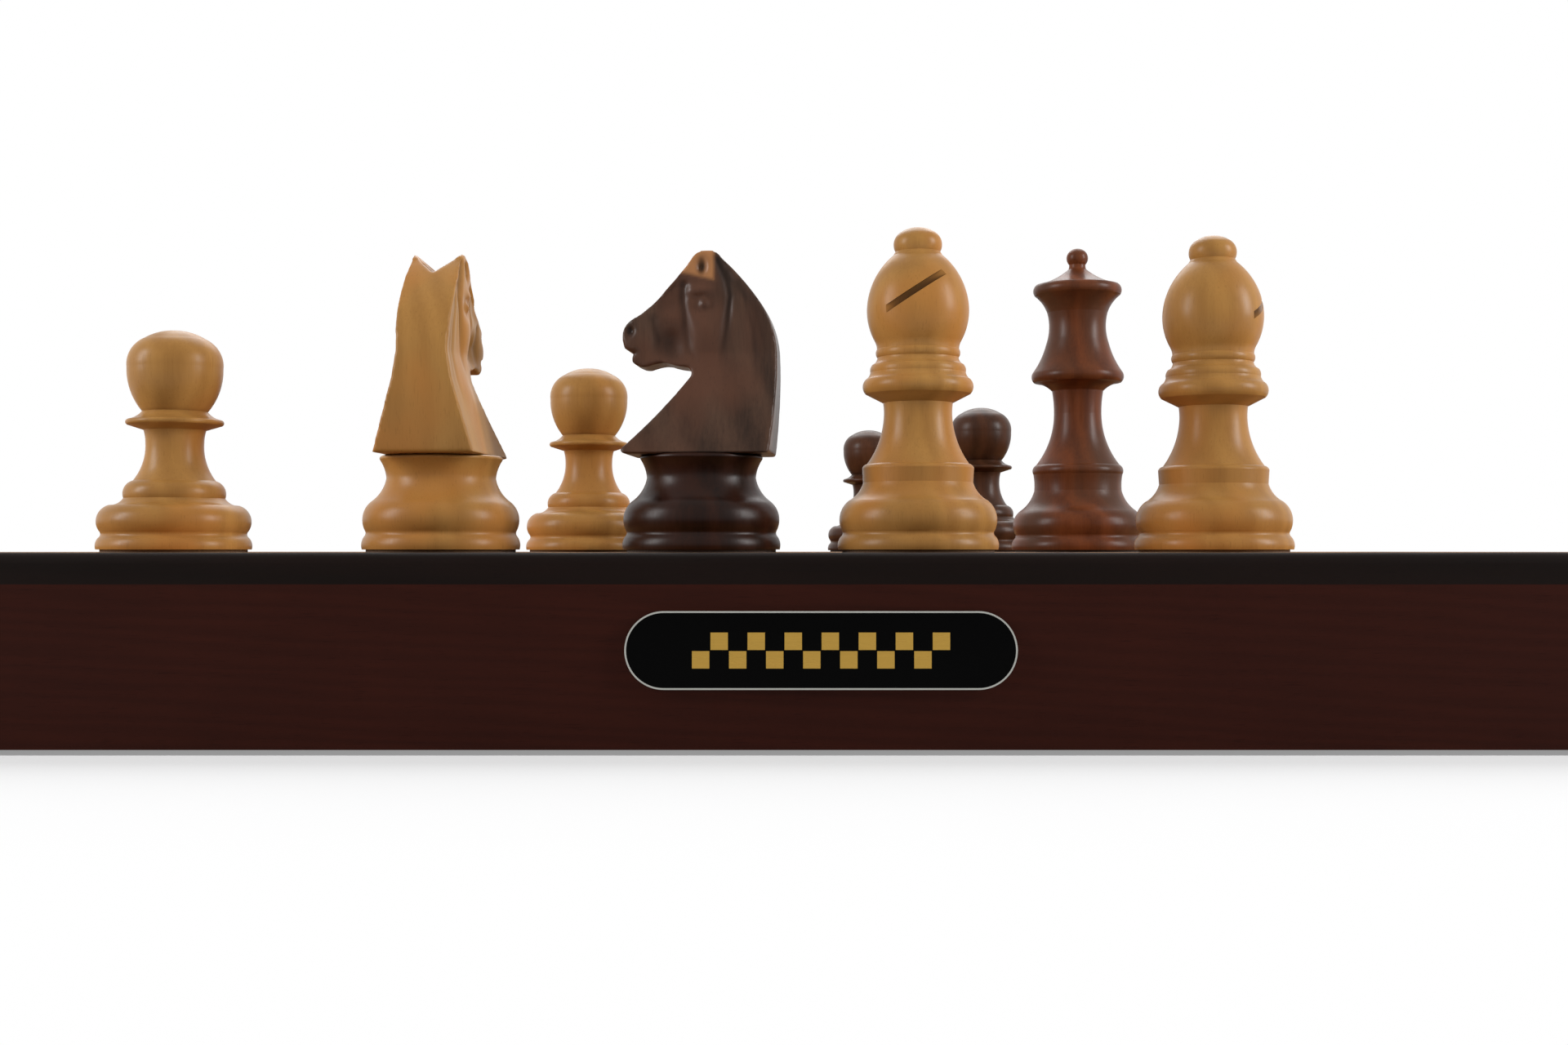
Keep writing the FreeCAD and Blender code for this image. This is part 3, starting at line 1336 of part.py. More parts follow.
def check_and_write():
    """Stops unless every object and shape is sound, then writes each sub-part."""
    doc.recompute()
    failed = [o.Name for o in doc.Objects if "Invalid" in o.State or "Error" in o.State]
    failed += [label for label, part in parts.items() if part.Shape.isNull() or not part.Shape.isValid()]
    if failed:
        raise SystemExit(f"these failed: {failed}")
    os.makedirs("parts", exist_ok=True)
    for label, part in parts.items():
        part.Shape.exportStep(f"parts/{label}.step")
    print(f"{len(parts)} sub-parts written")


make_frame()
make_glue_blocks()
make_base()
make_top()
make_nameplate()
make_panel()
for key_name, key_y in key_spots():
    make_key(key_name, key_y)
make_key_circuit()
make_sensor_board()
make_main_board()
make_ports()
make_ribbons()
make_board_fixings()
make_speaker()
for piece_name, (piece_kind, piece_file, piece_rank, _, _, _) in PIECES.items():
    make_piece(piece_name, piece_kind, piece_file, piece_rank)
check_and_write()
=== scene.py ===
"""Looks of the electronic chess computer: finishes, carved knights, ornament and key panel."""

import math

import bmesh
import bpy
from mathutils import Matrix, Vector


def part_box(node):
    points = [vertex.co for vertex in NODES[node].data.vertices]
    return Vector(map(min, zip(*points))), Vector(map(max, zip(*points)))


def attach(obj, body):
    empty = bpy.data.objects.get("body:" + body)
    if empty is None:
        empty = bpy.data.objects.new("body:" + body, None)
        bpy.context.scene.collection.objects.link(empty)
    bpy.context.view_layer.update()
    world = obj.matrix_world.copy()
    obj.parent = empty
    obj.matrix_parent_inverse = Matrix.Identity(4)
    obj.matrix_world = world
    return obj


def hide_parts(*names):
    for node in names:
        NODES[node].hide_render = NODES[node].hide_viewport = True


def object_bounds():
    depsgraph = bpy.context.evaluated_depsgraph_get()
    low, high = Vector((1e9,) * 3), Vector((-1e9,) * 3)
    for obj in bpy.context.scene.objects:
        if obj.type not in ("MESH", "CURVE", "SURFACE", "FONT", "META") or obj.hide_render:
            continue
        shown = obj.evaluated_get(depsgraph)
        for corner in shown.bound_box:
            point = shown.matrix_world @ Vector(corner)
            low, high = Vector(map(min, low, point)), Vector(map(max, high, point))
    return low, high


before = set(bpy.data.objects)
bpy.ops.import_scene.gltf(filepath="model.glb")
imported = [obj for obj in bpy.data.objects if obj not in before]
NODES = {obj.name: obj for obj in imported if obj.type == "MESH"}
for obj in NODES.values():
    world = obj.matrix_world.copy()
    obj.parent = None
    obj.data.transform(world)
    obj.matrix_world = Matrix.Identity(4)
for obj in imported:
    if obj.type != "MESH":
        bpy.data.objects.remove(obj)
CAD_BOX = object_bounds()
MM = 0.001
SQUARE = 55 * MM
BOARD_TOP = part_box("top_board")[1].z
LIGHT_PIECES = [
    "light_pawn_left", "light_knight", "light_pawn_back", "light_bishop_left", "light_bishop_right",
]
DARK_PIECES = ["dark_knight", "dark_pawn_far", "dark_pawn_near", "dark_queen"]
KEYS = ["back_key", "left_key", "right_key", "up_key", "enter_key"]


# Material nodes

# Where most of a noise texture's values lie
NOISE = (0.3, 0.7)


class Graph:
    """A material's node tree, built up node by node."""

    def __init__(self, name):
        self.material = bpy.data.materials.new(name)
        self.material.use_nodes = True
        self.tree = self.material.node_tree
        self.shader = self.tree.nodes["Principled BSDF"]

    def add(self, kind, inputs=None, **settings):
        """A new node with its settings, and its inputs linked or set."""
        node = self.tree.nodes.new(f"ShaderNode{kind}")
        for name, value in settings.items():
            setattr(node, name, value)
        for name, value in (inputs or {}).items():
            self.feed(node.inputs[name], value)
        return node

    def feed(self, socket, value):
        """Links an output to a socket, or sets the socket's own value."""
        if isinstance(value, bpy.types.NodeSocket):
            self.tree.links.new(value, socket)
        else:
            socket.default_value = value

    def finish(self, **inputs):
        """Sets the shader's sockets, named with underscores for spaces."""
        for name, value in inputs.items():
            self.feed(self.shader.inputs[name.replace("_", " ")], value)
        return self.material

    def place(self, offset=(0, 0, 0), scale=(1, 1, 1)):
        """The object's own coordinates in metres, moved and then scaled."""
        coordinates = self.add("TexCoord").outputs["Object"]
        moved = self.add("VectorMath", {0: coordinates, 1: offset}, operation="ADD").outputs[0]
        return self.add("VectorMath", {0: moved, 1: scale}, operation="MULTIPLY").outputs[0]

    def stretched(self, along, scale, offset=(0, 0, 0)):
        """The object's own coordinates in metres, moved and then scaled along one axis."""
        scales = [1.0, 1.0, 1.0]
        scales["XYZ".index(along)] = scale
        return self.place(offset, scales)

    def sides(self):
        """The object's own coordinates in metres, one by one."""
        return self.add("SeparateXYZ", {"Vector": self.place()}).outputs

    def grain(self, vector, scale, detail, rough=0.5):
        """Noise between nought and one, with so many features in a metre."""
        inputs = {"Vector": vector, "Scale": scale, "Detail": detail, "Roughness": rough}
        return self.add("TexNoise", inputs).outputs["Fac"]

    def span(self, value, low, high, new_low=0.0, new_high=1.0):
        """A value taken from one range to another and held inside it."""
        inputs = {
            "Value": value, "From Min": low, "From Max": high,
            "To Min": new_low, "To Max": new_high,
        }
        return self.add("MapRange", inputs).outputs["Result"]

    def blend(self, amount, first, second, mode="MIX"):
        """Two colours mixed by an amount."""
        node = self.add("Mix", {"Factor": amount}, data_type="RGBA", blend_type=mode)
        self.feed(node.inputs[6], first)
        self.feed(node.inputs[7], second)
        return node.outputs[2]

    def combine(self, first, second, operation="ADD"):
        """Two numbers taken together."""
        return self.add("Math", {0: first, 1: second}, operation=operation).outputs[0]

    def size(self, value):
        """A number without its sign."""
        return self.add("Math", {0: value}, operation="ABSOLUTE").outputs[0]

    def weighted(self, *terms):
        """The sum of numbers, each times its weight."""
        total, *others = [self.combine(value, share, "MULTIPLY") for value, share in terms]
        for other in others:
            total = self.combine(total, other)
        return total

    def bump(self, height, strength, depth):
        """A normal bent by a height."""
        inputs = {"Height": height, "Strength": strength, "Distance": depth}
        return self.add("Bump", inputs).outputs["Normal"]


def darker(colour, share):
    """A colour with only a share of its light."""
    return tuple(share * channel for channel in colour[:3]) + (1.0,)


def rgb(red, green, blue):
    """A colour as it reads on a screen, made linear."""
    def linear(channel):
        part = channel / 255
        return part / 12.92 if part <= 0.04045 else ((part + 0.055) / 1.055) ** 2.4
    return (linear(red), linear(green), linear(blue), 1.0)


# Wood: where each seed lies in it
SEED_START = (0.0, 0.1, 0.0)
SEED_STEP = (0.37, 0.21, 0.13)
FIBRE_STRETCH = 0.055
# Features in a metre
FIBRES = 1500.0
PORES = 3800.0
CLOUDS = 42.0
PATCHES = 55.0
# The warp's features for each growth ring
RING_WARP = 0.6
# Shares in the tone, the middle of the tone and how far it reaches
BAND_SHARE = 0.3
FIBRE_SHARE = 0.45
WARP_SHARE = 0.35
MIDDLE_TONE = 0.55
TONE_REACH = 0.4
# Part of the noise that shows as pores or patches, and how strongly marks of each kind show
PORE_RANGE = (0.6, 0.72)
PATCH_RANGE = (0.46, 0.62)
PATCH_STRENGTH = 0.85
CLOUD_STRENGTH = 0.3
SQUARE_STRENGTH = 0.3
# Light left of the deep tone in pores, and in the painted shade of grooves and cuts
PORE_LIGHT = 0.35
GROOVE_LIGHT = 0.3
CUT_LIGHT = 0.25
PORE_DEPTH = 0.8
# Painted shade in the grooves of a turned piece: how far from a wall a groove is dark, and how much
# of the open air it then sees
CREVICE = 2.5 * MM
GROOVE_RANGE = (0.2, 0.75)
GROOVE_STRENGTH = 0.85
# Tone of the pale patch on the dark knight's ears
PALE_EAR_TONE = rgb(170, 118, 76)
KNIGHT_BASE_TINT = rgb(150, 118, 104)


def wood(name, pale, deep, along, seed, ring=90.0, contrast=1.0, pores=0.5, gloss=(0.3, 0.42),
         shine=0.2, tiles=False, carved=False, figure=None):
    """Lacquered wood along an axis: growth bands, fibres, pores and a cloudy tone."""
    graph = Graph(name)
    spot = [start + step * seed for start, step in zip(SEED_START, SEED_STEP)]
    vector = graph.stretched(along, FIBRE_STRETCH, spot)
    if tiles:
        scatter = square_scatter(graph)
        shifted = {0: vector, 1: scatter["Color"]}
        vector = graph.add("VectorMath", shifted, operation="ADD").outputs[0]
    warp = graph.grain(vector, ring * RING_WARP, detail=2.0)
    rings = {
        "Vector": vector, "Scale": ring, "Distortion": 7.0, "Detail": 3.0, "Phase Offset": seed,
    }
    bands = graph.add("TexWave", rings, bands_direction="DIAGONAL").outputs["Fac"]
    fibres = graph.grain(vector, FIBRES, detail=4.0, rough=0.6)
    tone = graph.weighted((bands, BAND_SHARE), (fibres, FIBRE_SHARE), (warp, WARP_SHARE))
    reach = TONE_REACH / contrast
    tone = graph.span(tone, MIDDLE_TONE - reach, MIDDLE_TONE + reach)
    colour = graph.blend(tone, deep, pale)
    cloud = graph.grain(graph.place((seed, 0, 0)), CLOUDS, detail=2.0)
    colour = graph.blend(graph.span(cloud, *NOISE, 0.0, CLOUD_STRENGTH), colour, deep)
    # Patches of figure, and painted shade in the grooves of the turned pieces
    if figure:
        colour = figured(graph, colour, deep, figure, seed)
    speck = graph.span(graph.grain(vector, PORES, detail=2.0), *PORE_RANGE, 0.0, pores)
    colour = graph.blend(speck, colour, darker(deep, PORE_LIGHT))
    if tiles:
        shade = graph.span(scatter["Value"], 0.0, 1.0, 0.0, SQUARE_STRENGTH)
        colour = graph.blend(shade, colour, deep)
    # Knights: pale ear patch, painted shade in the carving, and the base's tint
    if carved:
        colour = marked(graph, colour, deep)
    height = graph.weighted((fibres, 1.0), (speck, -PORE_DEPTH))
    return graph.finish(
        Base_Color=colour,
        Roughness=graph.span(fibres, *NOISE, *gloss),
        Normal=graph.bump(height, strength=0.12, depth=0.08 * MM),
        Specular_IOR_Level=shine,
    )


def square_scatter(graph):
    """A random value and colour for each square of the field."""
    cell = graph.place(scale=(1 / SQUARE, 1 / SQUARE, 0))
    corner = graph.add("VectorMath", {0: cell}, operation="FLOOR").outputs[0]
    return graph.add("TexWhiteNoise", {"Vector": corner}, noise_dimensions="3D").outputs


def figured(graph, colour, deep, figure, seed):
    """The colour of a chess piece: patches of another tone, and painted shade in the grooves."""
    patches = graph.grain(graph.stretched("Z", 0.6, (0, seed, 0)), PATCHES, detail=2.0)
    amount = graph.span(patches, *PATCH_RANGE, 0.0, PATCH_STRENGTH)
    colour = graph.blend(amount, colour, figure)
    # Painted shade: grooves that see little open air are darkened
    open_air = graph.add("AmbientOcclusion", {"Distance": CREVICE}, samples=8, only_local=True)
    groove_shade = graph.span(open_air.outputs["AO"], *GROOVE_RANGE, GROOVE_STRENGTH, 0.0)
    return graph.blend(groove_shade, colour, darker(deep, GROOVE_LIGHT))


def marked(graph, colour, deep):
    """The colour of a knight: a pale ear patch, painted shade in its carving, and its base's tint.
    """
    carving = graph.add("Attribute", attribute_name="carving").outputs["Color"]
    marks = graph.add("SeparateColor", {"Color": carving}).outputs
    colour = graph.blend(marks["Green"], colour, PALE_EAR_TONE)
    # Painted shade in the cuts and hollows of the carving
    colour = graph.blend(marks["Red"], colour, darker(deep, CUT_LIGHT))
    return graph.blend(marks["Blue"], colour, KNIGHT_BASE_TINT, "MULTIPLY")


# Other stuff: features in a metre
FUZZ = 2600.0
BRUSH_STRETCH = 0.01
BRUSH_LINES = 5000.0
METAL_SMUDGES = 90.0
MOULD_GRAIN = 2600.0
PLASTIC_SMUDGES = 60.0
SCUFFS = 700.0
TRACKS = 160.0
PADS = 260.0
TIN = rgb(190, 188, 180)
# In millimetres: a circuit board, and how far back the sockets with tinned cases begin
CIRCUIT_THICKNESS = 1.6
SOCKETS_BEHIND = 252.0


def felt(name, colour):
    """Short matted fibres."""
    graph = Graph(name)
    fuzz = graph.grain(graph.place(), FUZZ, detail=5.0, rough=0.7)
    tint = graph.blend(graph.span(fuzz, *NOISE), darker(colour, 0.5), colour)
    matted = graph.bump(fuzz, strength=0.6, depth=0.3 * MM)
    return graph.finish(Base_Color=tint, Roughness=0.95, Normal=matted, Sheen_Weight=0.4)


def metal(name, colour, rough, along, brushed=0.5):
    """Metal with fine lines along an axis."""
    graph = Graph(name)
    lines = graph.grain(graph.stretched(along, BRUSH_STRETCH), BRUSH_LINES, detail=3.0)
    smudge = graph.grain(graph.place(), METAL_SMUDGES, detail=3.0)
    spread = graph.span(graph.combine(lines, smudge), 0.7, 1.3, rough * 0.75, rough * 1.3)
    tint = graph.blend(graph.span(lines, *NOISE, 0.0, 0.25), colour, darker(colour, 0.7))
    scratches = graph.bump(lines, strength=0.1 * brushed, depth=0.03 * MM)
    return graph.finish(Base_Color=tint, Metallic=1.0, Roughness=spread, Normal=scratches)


def plastic(name, colour, rough, texture, scale=MOULD_GRAIN, shine=0.4):
    """Moulded plastic or paint with a fine grain and slight wear."""
    graph = Graph(name)
    grit = graph.grain(graph.place(), scale, detail=3.0)
    smudge = graph.grain(graph.place((3, 1, 2)), PLASTIC_SMUDGES, detail=3.0)
    tint = graph.blend(graph.span(smudge, 0.35, 0.7, 0.0, 0.3), colour, darker(colour, 0.75))
    return graph.finish(
        Base_Color=tint,
        Roughness=graph.span(smudge, *NOISE, rough * 0.85, min(1.0, rough * 1.2)),
        Normal=graph.bump(grit, strength=texture, depth=0.04 * MM),
        Specular_IOR_Level=shine,
    )


def circuit(name, level, mounted):
    """Green solder mask with copper tracks and tinned pads, and the parts mounted on it."""
    graph = Graph(name)
    grid = {"Vector": graph.place(scale=(TRACKS, TRACKS, 1.0)), "Scale": 1.0, "Mortar Size": 0.06}
    tracks = graph.add("TexBrick", grid).outputs["Fac"]
    mask = graph.blend(tracks, rgb(14, 66, 36), rgb(34, 96, 52))
    dots = graph.add("TexVoronoi", {"Vector": graph.place(), "Scale": PADS}).outputs["Distance"]
    pads = graph.span(dots, 0.16, 0.2, 1.0, 0.0)
    sides = graph.sides()
    half = CIRCUIT_THICKNESS / 2
    from_middle = graph.size(graph.combine(sides["Z"], (level + half) * MM, "SUBTRACT"))
    outside = graph.span(from_middle, (half + 0.1) * MM, (half + 0.15) * MM)
    at_back = graph.span(sides["Y"], (SOCKETS_BEHIND - 1) * MM, SOCKETS_BEHIND * MM)
    parts = graph.blend(at_back, mounted, TIN)
    return graph.finish(
        Base_Color=graph.blend(outside, graph.blend(pads, mask, TIN), parts),
        Metallic=graph.blend(outside, pads, at_back),
        Roughness=0.35,
        Normal=graph.bump(tracks, strength=0.2, depth=0.05 * MM),
    )


def clear(name, colour, rough=0.02):
    """Clear moulded plastic or glass with faint scuffs."""
    graph = Graph(name)
    scuff = graph.grain(graph.place(), SCUFFS, detail=4.0)
    return graph.finish(
        Base_Color=colour, Transmission_Weight=0.95, IOR=1.49,
        Roughness=graph.span(scuff, 0.5, 0.75, rough, rough + 0.08),
    )


# Finishes of the CAD nodes

# Pale and deep tone of each wood
RAIL = (rgb(58, 24, 16), rgb(38, 15, 10))
BORDER = (rgb(25, 15, 12), rgb(13, 8, 6))
LIGHT_SQUARE = (rgb(206, 162, 106), rgb(168, 118, 66))
DARK_SQUARE = (rgb(92, 52, 32), rgb(54, 28, 17))
STRINGING = (rgb(200, 158, 104), rgb(160, 112, 62))
RAW_WOOD = (rgb(196, 160, 112), rgb(160, 122, 78))
BOXWOOD = (rgb(188, 139, 75), rgb(148, 103, 52))
ROSEWOOD = (rgb(124, 67, 36), rgb(70, 35, 19))
WALNUT = (rgb(86, 52, 33), rgb(46, 27, 17))
EBONY = (rgb(98, 72, 57), rgb(38, 26, 20))
DARK_WOODS = {"knight": EBONY, "pawn": WALNUT, "queen": ROSEWOOD}
# Tone of the patches in the wood of the chess pieces
LIGHT_FIGURE = rgb(178, 121, 60)
DARK_FIGURES = {"knight": rgb(92, 60, 45), "pawn": rgb(70, 40, 25), "queen": rgb(78, 50, 34)}
# Direction of the fibres and seed of each rail
RAILS = {
    "front_rail": ("X", 10), "back_rail": ("X", 9), "left_rail": ("Y", 9), "right_rail": ("Y", 10),
}
TOP_FINISH = {"gloss": (0.58, 0.7), "shine": 0.06}
SQUARE_FINISH = {"tiles": True, **TOP_FINISH}
RAIL_FINISH = {"ring": 240, "contrast": 0.55, "pores": 0.35, "gloss": (0.4, 0.52), "shine": 0.05}
PIECE_FINISH = {"ring": 80, "pores": 0.2, "gloss": (0.28, 0.38), "shine": 0.14}
PIECE_CONTRAST = {"light": 0.8, "dark": 1.1}
PIECE_SEED = 0.4
# Height in millimetres of each circuit's lower face, and the tone of the parts mounted on it
CIRCUITS = {
    "sensor_board": (28.1, rgb(214, 208, 186)),
    "main_board": (9.0, rgb(28, 28, 30)),
    "key_circuit": (25.9, rgb(32, 32, 34)),
}


def paint(node, material):
    """Gives a CAD node one material."""
    mesh = NODES[node].data
    mesh.materials.clear()
    mesh.materials.append(material)


def paint_board():
    """Finishes of the board and what is in it."""
    for rail, (along, seed) in RAILS.items():
        paint(rail, wood(f"{rail}_wood", *RAIL, along, seed, **RAIL_FINISH))
    paint("top_board", wood("border_wood", *BORDER, "X", seed=3.0, pores=0.3, **TOP_FINISH))
    paint("light_squares", wood("light_square_wood", *LIGHT_SQUARE, "Y", seed=5.0, **SQUARE_FINISH))
    paint("dark_squares", wood("dark_square_wood", *DARK_SQUARE, "Y", seed=7.0, **SQUARE_FINISH))
    paint("field_stringing", wood("stringing_wood", *STRINGING, "X", seed=2.0, **TOP_FINISH))
    paint("glue_blocks", wood("block_wood", *RAW_WOOD, "Z", seed=4.0, gloss=(0.6, 0.75)))
    base_paint = plastic("base_paint", rgb(34, 26, 22), rough=0.7, texture=0.5, scale=1200.0)
    paint("base_panel", base_paint)
    paint("felt_feet", felt("feet_felt", rgb(40, 34, 30)))
    paint("light_pipes", clear("pipe_plastic", (0.75, 0.06, 0.04, 1.0), rough=0.08))
    paint("nameplate_rim", metal("rim_metal", rgb(168, 168, 162), rough=0.3, along="X"))
    enamel = plastic("face_enamel", rgb(6, 6, 6), rough=0.1, texture=0.02, shine=0.02)
    paint("nameplate_face", enamel)
    paint("key_panel", metal("panel_metal", rgb(46, 46, 48), rough=0.38, along="Y", brushed=1.0))
    paint("display_module", plastic("display_glass", rgb(120, 132, 104), rough=0.35, texture=0.05))
    paint("port_plate", plastic("port_plastic", rgb(26, 26, 27), rough=0.5, texture=0.4))
    paint("power_slider", plastic("slider_plastic", rgb(44, 44, 46), rough=0.45, texture=0.3))
    paint("loudspeaker", plastic("speaker_plastic", rgb(22, 22, 22), rough=0.6, texture=0.5))
    paint("ribbon_cables", plastic("ribbon_plastic", rgb(150, 150, 150), rough=0.5, texture=0.3))
    paint("standoffs", metal("standoff_brass", rgb(196, 160, 84), rough=0.3, along="Z"))
    for node in ("base_screws", "board_screws"):
        paint(node, metal(f"{node}_zinc", rgb(176, 178, 180), rough=0.28, along="X"))
    for node, (level, mounted) in CIRCUITS.items():
        paint(node, circuit(f"{node}_mask", level, mounted))
    key_plastic = plastic("key_plastic", rgb(58, 58, 60), rough=0.5, texture=0.35)
    for node in KEYS:
        paint(node, key_plastic)


def paint_pieces():
    """Finishes of the chess pieces."""
    felts = {
        "light": felt("light_piece_felt", rgb(104, 72, 38)),
        "dark": felt("dark_piece_felt", rgb(48, 28, 18)),
    }
    coil_metal = metal("coil_copper", rgb(186, 110, 66), rough=0.35, along="Z")
    for number, piece in enumerate(LIGHT_PIECES + DARK_PIECES):
        side, kind = piece.split("_")[:2]
        is_light = side == "light"
        piece_wood = wood(
            f"{piece}_wood", *(BOXWOOD if is_light else DARK_WOODS[kind]), "Z", number + PIECE_SEED,
            contrast=PIECE_CONTRAST[side], carved=kind == "knight",
            figure=LIGHT_FIGURE if is_light else DARK_FIGURES[kind], **PIECE_FINISH,
        )
        paint(piece, piece_wood)
        paint(f"{piece}_felt", felts[side])
        paint(f"{piece}_coil", coil_metal)


paint_board()
paint_pieces()


# Edges: sawn and machined parts are slightly eased, by millimetres.

EASED = {
    "front_rail": 0.4, "back_rail": 0.4, "left_rail": 0.4, "right_rail": 0.4,
    "port_plate": 0.3, "power_slider": 0.3,
}
SHARP_EDGE = 50


def ease(node, width):
    """Takes the sharpness off a CAD node's edges."""
    bevel = NODES[node].modifiers.new("ease", "BEVEL")
    bevel.width = width
    bevel.segments = 2
    bevel.limit_method = "ANGLE"
    bevel.angle_limit = math.radians(SHARP_EDGE)


for eased_node, ease_width in EASED.items():
    ease(eased_node, ease_width * MM)


# Pieces of the scene's own


def add_piece(name, mesh, body, replaced=None):
    """Puts a mesh in the scene as a piece that rides on a body."""
    piece = bpy.data.objects.new(name, mesh)
    bpy.context.scene.collection.objects.link(piece)
    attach(piece, body)
    if replaced:
        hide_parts(replaced)


# Knights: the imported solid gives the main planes, and a finer skin of it takes the carving.
# Lengths are in millimetres from the knight's axis and from its square, and turns in degrees.

KNIGHT_HEADINGS = {"dark_knight": 176.0, "light_knight": 85.0}
# The head's seat on the turned base, how deep it goes in, and the radius of the base's flat top
SEAT = 20.3
SEAT_LAP = 0.05
BASE_TOP_RADIUS = 12.3
# The base's profile is read outside the coil's room, up to a little below the seat.
COIL_ROOM_RADIUS = 9.0
PROFILE_END = 0.2
LATHE_STEPS = 96
SAME_POINT = 0.001
SKIN_STEP = 0.42
SKIN_SMOOTHING = [0.5, 0.5, 0.5]
CUT_SMOOTHING = 0.35
CARVED_SHARP_EDGE = 42
# The carving is on faces that look sideways: where it starts, and the way to its full depth
SIDEWAYS = 0.25
SIDEWAYS_RISE = 0.4
# Cut lines on the side of the head: points ahead of the axis and over the square, half width and
# depth. Each runs out over the last share of its way.
CUTS = [
    (
        [(-4.0, 60.5), (-5.9, 56.2), (-6.5, 53.2), (-5.9, 48.0), (-5.0, 42.1), (-4.2, 37.0)],
        0.9, 0.8,
    ),
    ([(3.1, 55.5), (3.3, 51.9), (2.6, 47.6), (1.8, 42.1), (0.1, 38.9)], 0.9, 0.6),
    ([(16.4, 41.0), (12.2, 41.6)], 0.5, 0.9),
    ([(9.6, 48.2), (8.8, 44.0), (9.4, 39.6)], 1.0, 0.5),
    ([(-6.4, 58.2), (-9.6, 52.5), (-11.3, 46.0), (-11.8, 38.0), (-11.4, 30.0)], 0.7, 0.35),
    ([(-8.4, 56.0), (-12.0, 49.5), (-13.8, 42.0), (-14.0, 33.0)], 0.6, 0.25),
    ([(-5.2, 59.8), (-7.6, 54.5), (-8.7, 48.0), (-8.6, 41.0)], 0.6, 0.25),
]
RUN_OUT = 0.5
# Hollows, and swellings below nought: place ahead and up, spread ahead and up, depth.
DENTS = [
    (5.6, 43.3, 3.0, 3.4, 1.5),
    (14.3, 46.0, 0.8, 0.9, 1.0),
    (-0.6, 59.4, 1.0, 1.7, 1.3),
    (-1.2, 51.5, 2.2, 2.0, 1.0),
    (6.5, 51.0, 2.5, 2.0, 0.5),
    (5.0, 55.0, 4.0, 3.5, 0.9),
    (-1.2, 51.5, 1.1, 1.1, -1.4),
    (-1.8, 46.0, 3.2, 4.5, -0.9),
    (0.2, 54.2, 2.8, 0.9, -0.6),
    (-6.3, 33.0, 5.0, 5.5, -0.8),
    (13.0, 43.8, 2.2, 3.0, -0.5),
]
# Painted shade in the carving: how dark it is by its depth, at most, and less in hollows that are
# not narrow
SHADE_BY_DEPTH = 0.7
DARKEST_SHADE = 0.85
NARROW = 1.5
WIDE_HOLLOW_SHADE = 0.4
# The pale patch on the ears: its lower edge, the rise of that edge, its hind edge and its blur
PATCH_LEVEL = 56.8
PATCH_RISE = 0.25
PATCH_BEHIND = 3.6
PATCH_BLUR = 0.9


def held(value):
    """A value held between nought and one."""
    return max(0.0, min(1.0, value))


def nearest_on_line(point, line):
    """How far a point on the side is from a cut line, and the share of the line still to come."""
    nearest = (math.inf, 0.0)
    for number, (start, end) in enumerate(zip(line, line[1:])):
        start, end = Vector(start), Vector(end)
        along = end - start
        share = held((point - start).dot(along) / along.length_squared)
        to_come = 1.0 - (number + share) / (len(line) - 1)
        nearest = min(nearest, ((point - start - along * share).length, to_come))
    return nearest


def carving(ahead, height):
    """How deep the carving goes at a point on the side of the head, and its painted shade there."""
    point = Vector((ahead, height))
    depth = shade = 0.0
    for line, width, deep in CUTS:
        distance, to_come = nearest_on_line(point, line)
        cut = deep * min(1.0, to_come / RUN_OUT) * math.exp(-((distance / width) ** 2))
        depth += cut
        shade += cut
    for place, level, spread, rise, deep in DENTS:
        dent = deep * math.exp(-(((ahead - place) / spread) ** 2) - ((height - level) / rise) ** 2)
        depth += dent
        if deep > 0:
            shade += dent if spread < NARROW else WIDE_HOLLOW_SHADE * dent
    return depth, min(DARKEST_SHADE, SHADE_BY_DEPTH * shade)


def ear_patch(ahead, height):
    """How much of the pale tone shows: on the front of the ears."""
    edge = min(height - PATCH_LEVEL - PATCH_RISE * ahead, ahead + PATCH_BEHIND)
    return held(edge / PATCH_BLUR)


def refined_skin(mesh):
    """The same body under an even fine skin."""
    rough = bpy.data.objects.new("rough", mesh)
    bpy.context.scene.collection.objects.link(rough)
    remesh = rough.modifiers.new("skin", "REMESH")
    remesh.mode = "VOXEL"
    remesh.voxel_size = SKIN_STEP
    graph = bpy.context.evaluated_depsgraph_get()
    skin = bpy.data.meshes.new_from_object(rough.evaluated_get(graph))
    bpy.data.objects.remove(rough)
    return skin


def turned_profile(vertices):
    """Height and radius of every ring of the knight's turned base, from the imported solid."""
    rings = {}
    for spot in vertices:
        radius = math.hypot(spot.x, spot.y)
        if spot.z < SEAT - PROFILE_END and radius > COIL_ROOM_RADIUS:
            level = round(spot.z, 2)
            rings[level] = max(radius, rings.get(level, 0.0))
    return sorted(rings.items())


def add_lathe(body, profile):
    """Turns a profile of heights and radii into a closed form, and gives its vertices."""
    rings = []
    for height, radius in profile:
        ring = []
        for step in range(LATHE_STEPS):
            turn = 2 * math.pi * step / LATHE_STEPS
            spot = (radius * math.cos(turn), radius * math.sin(turn), height)
            ring.append(body.verts.new(spot))
        rings.append(ring)
    for low, high in zip(rings, rings[1:]):
        for step in range(LATHE_STEPS):
            after = (step + 1) % LATHE_STEPS
            body.faces.new((low[step], low[after], high[after], high[step]))
    body.faces.new(rings[0][::-1])
    body.faces.new(rings[-1])
    return [vertex for ring in rings for vertex in ring]


def smooth(body, factor):
    """Relaxes a skin once."""
    axes = {f"use_axis_{axis}": True for axis in "xyz"}
    bmesh.ops.smooth_vert(body, verts=body.verts, factor=factor, **axes)


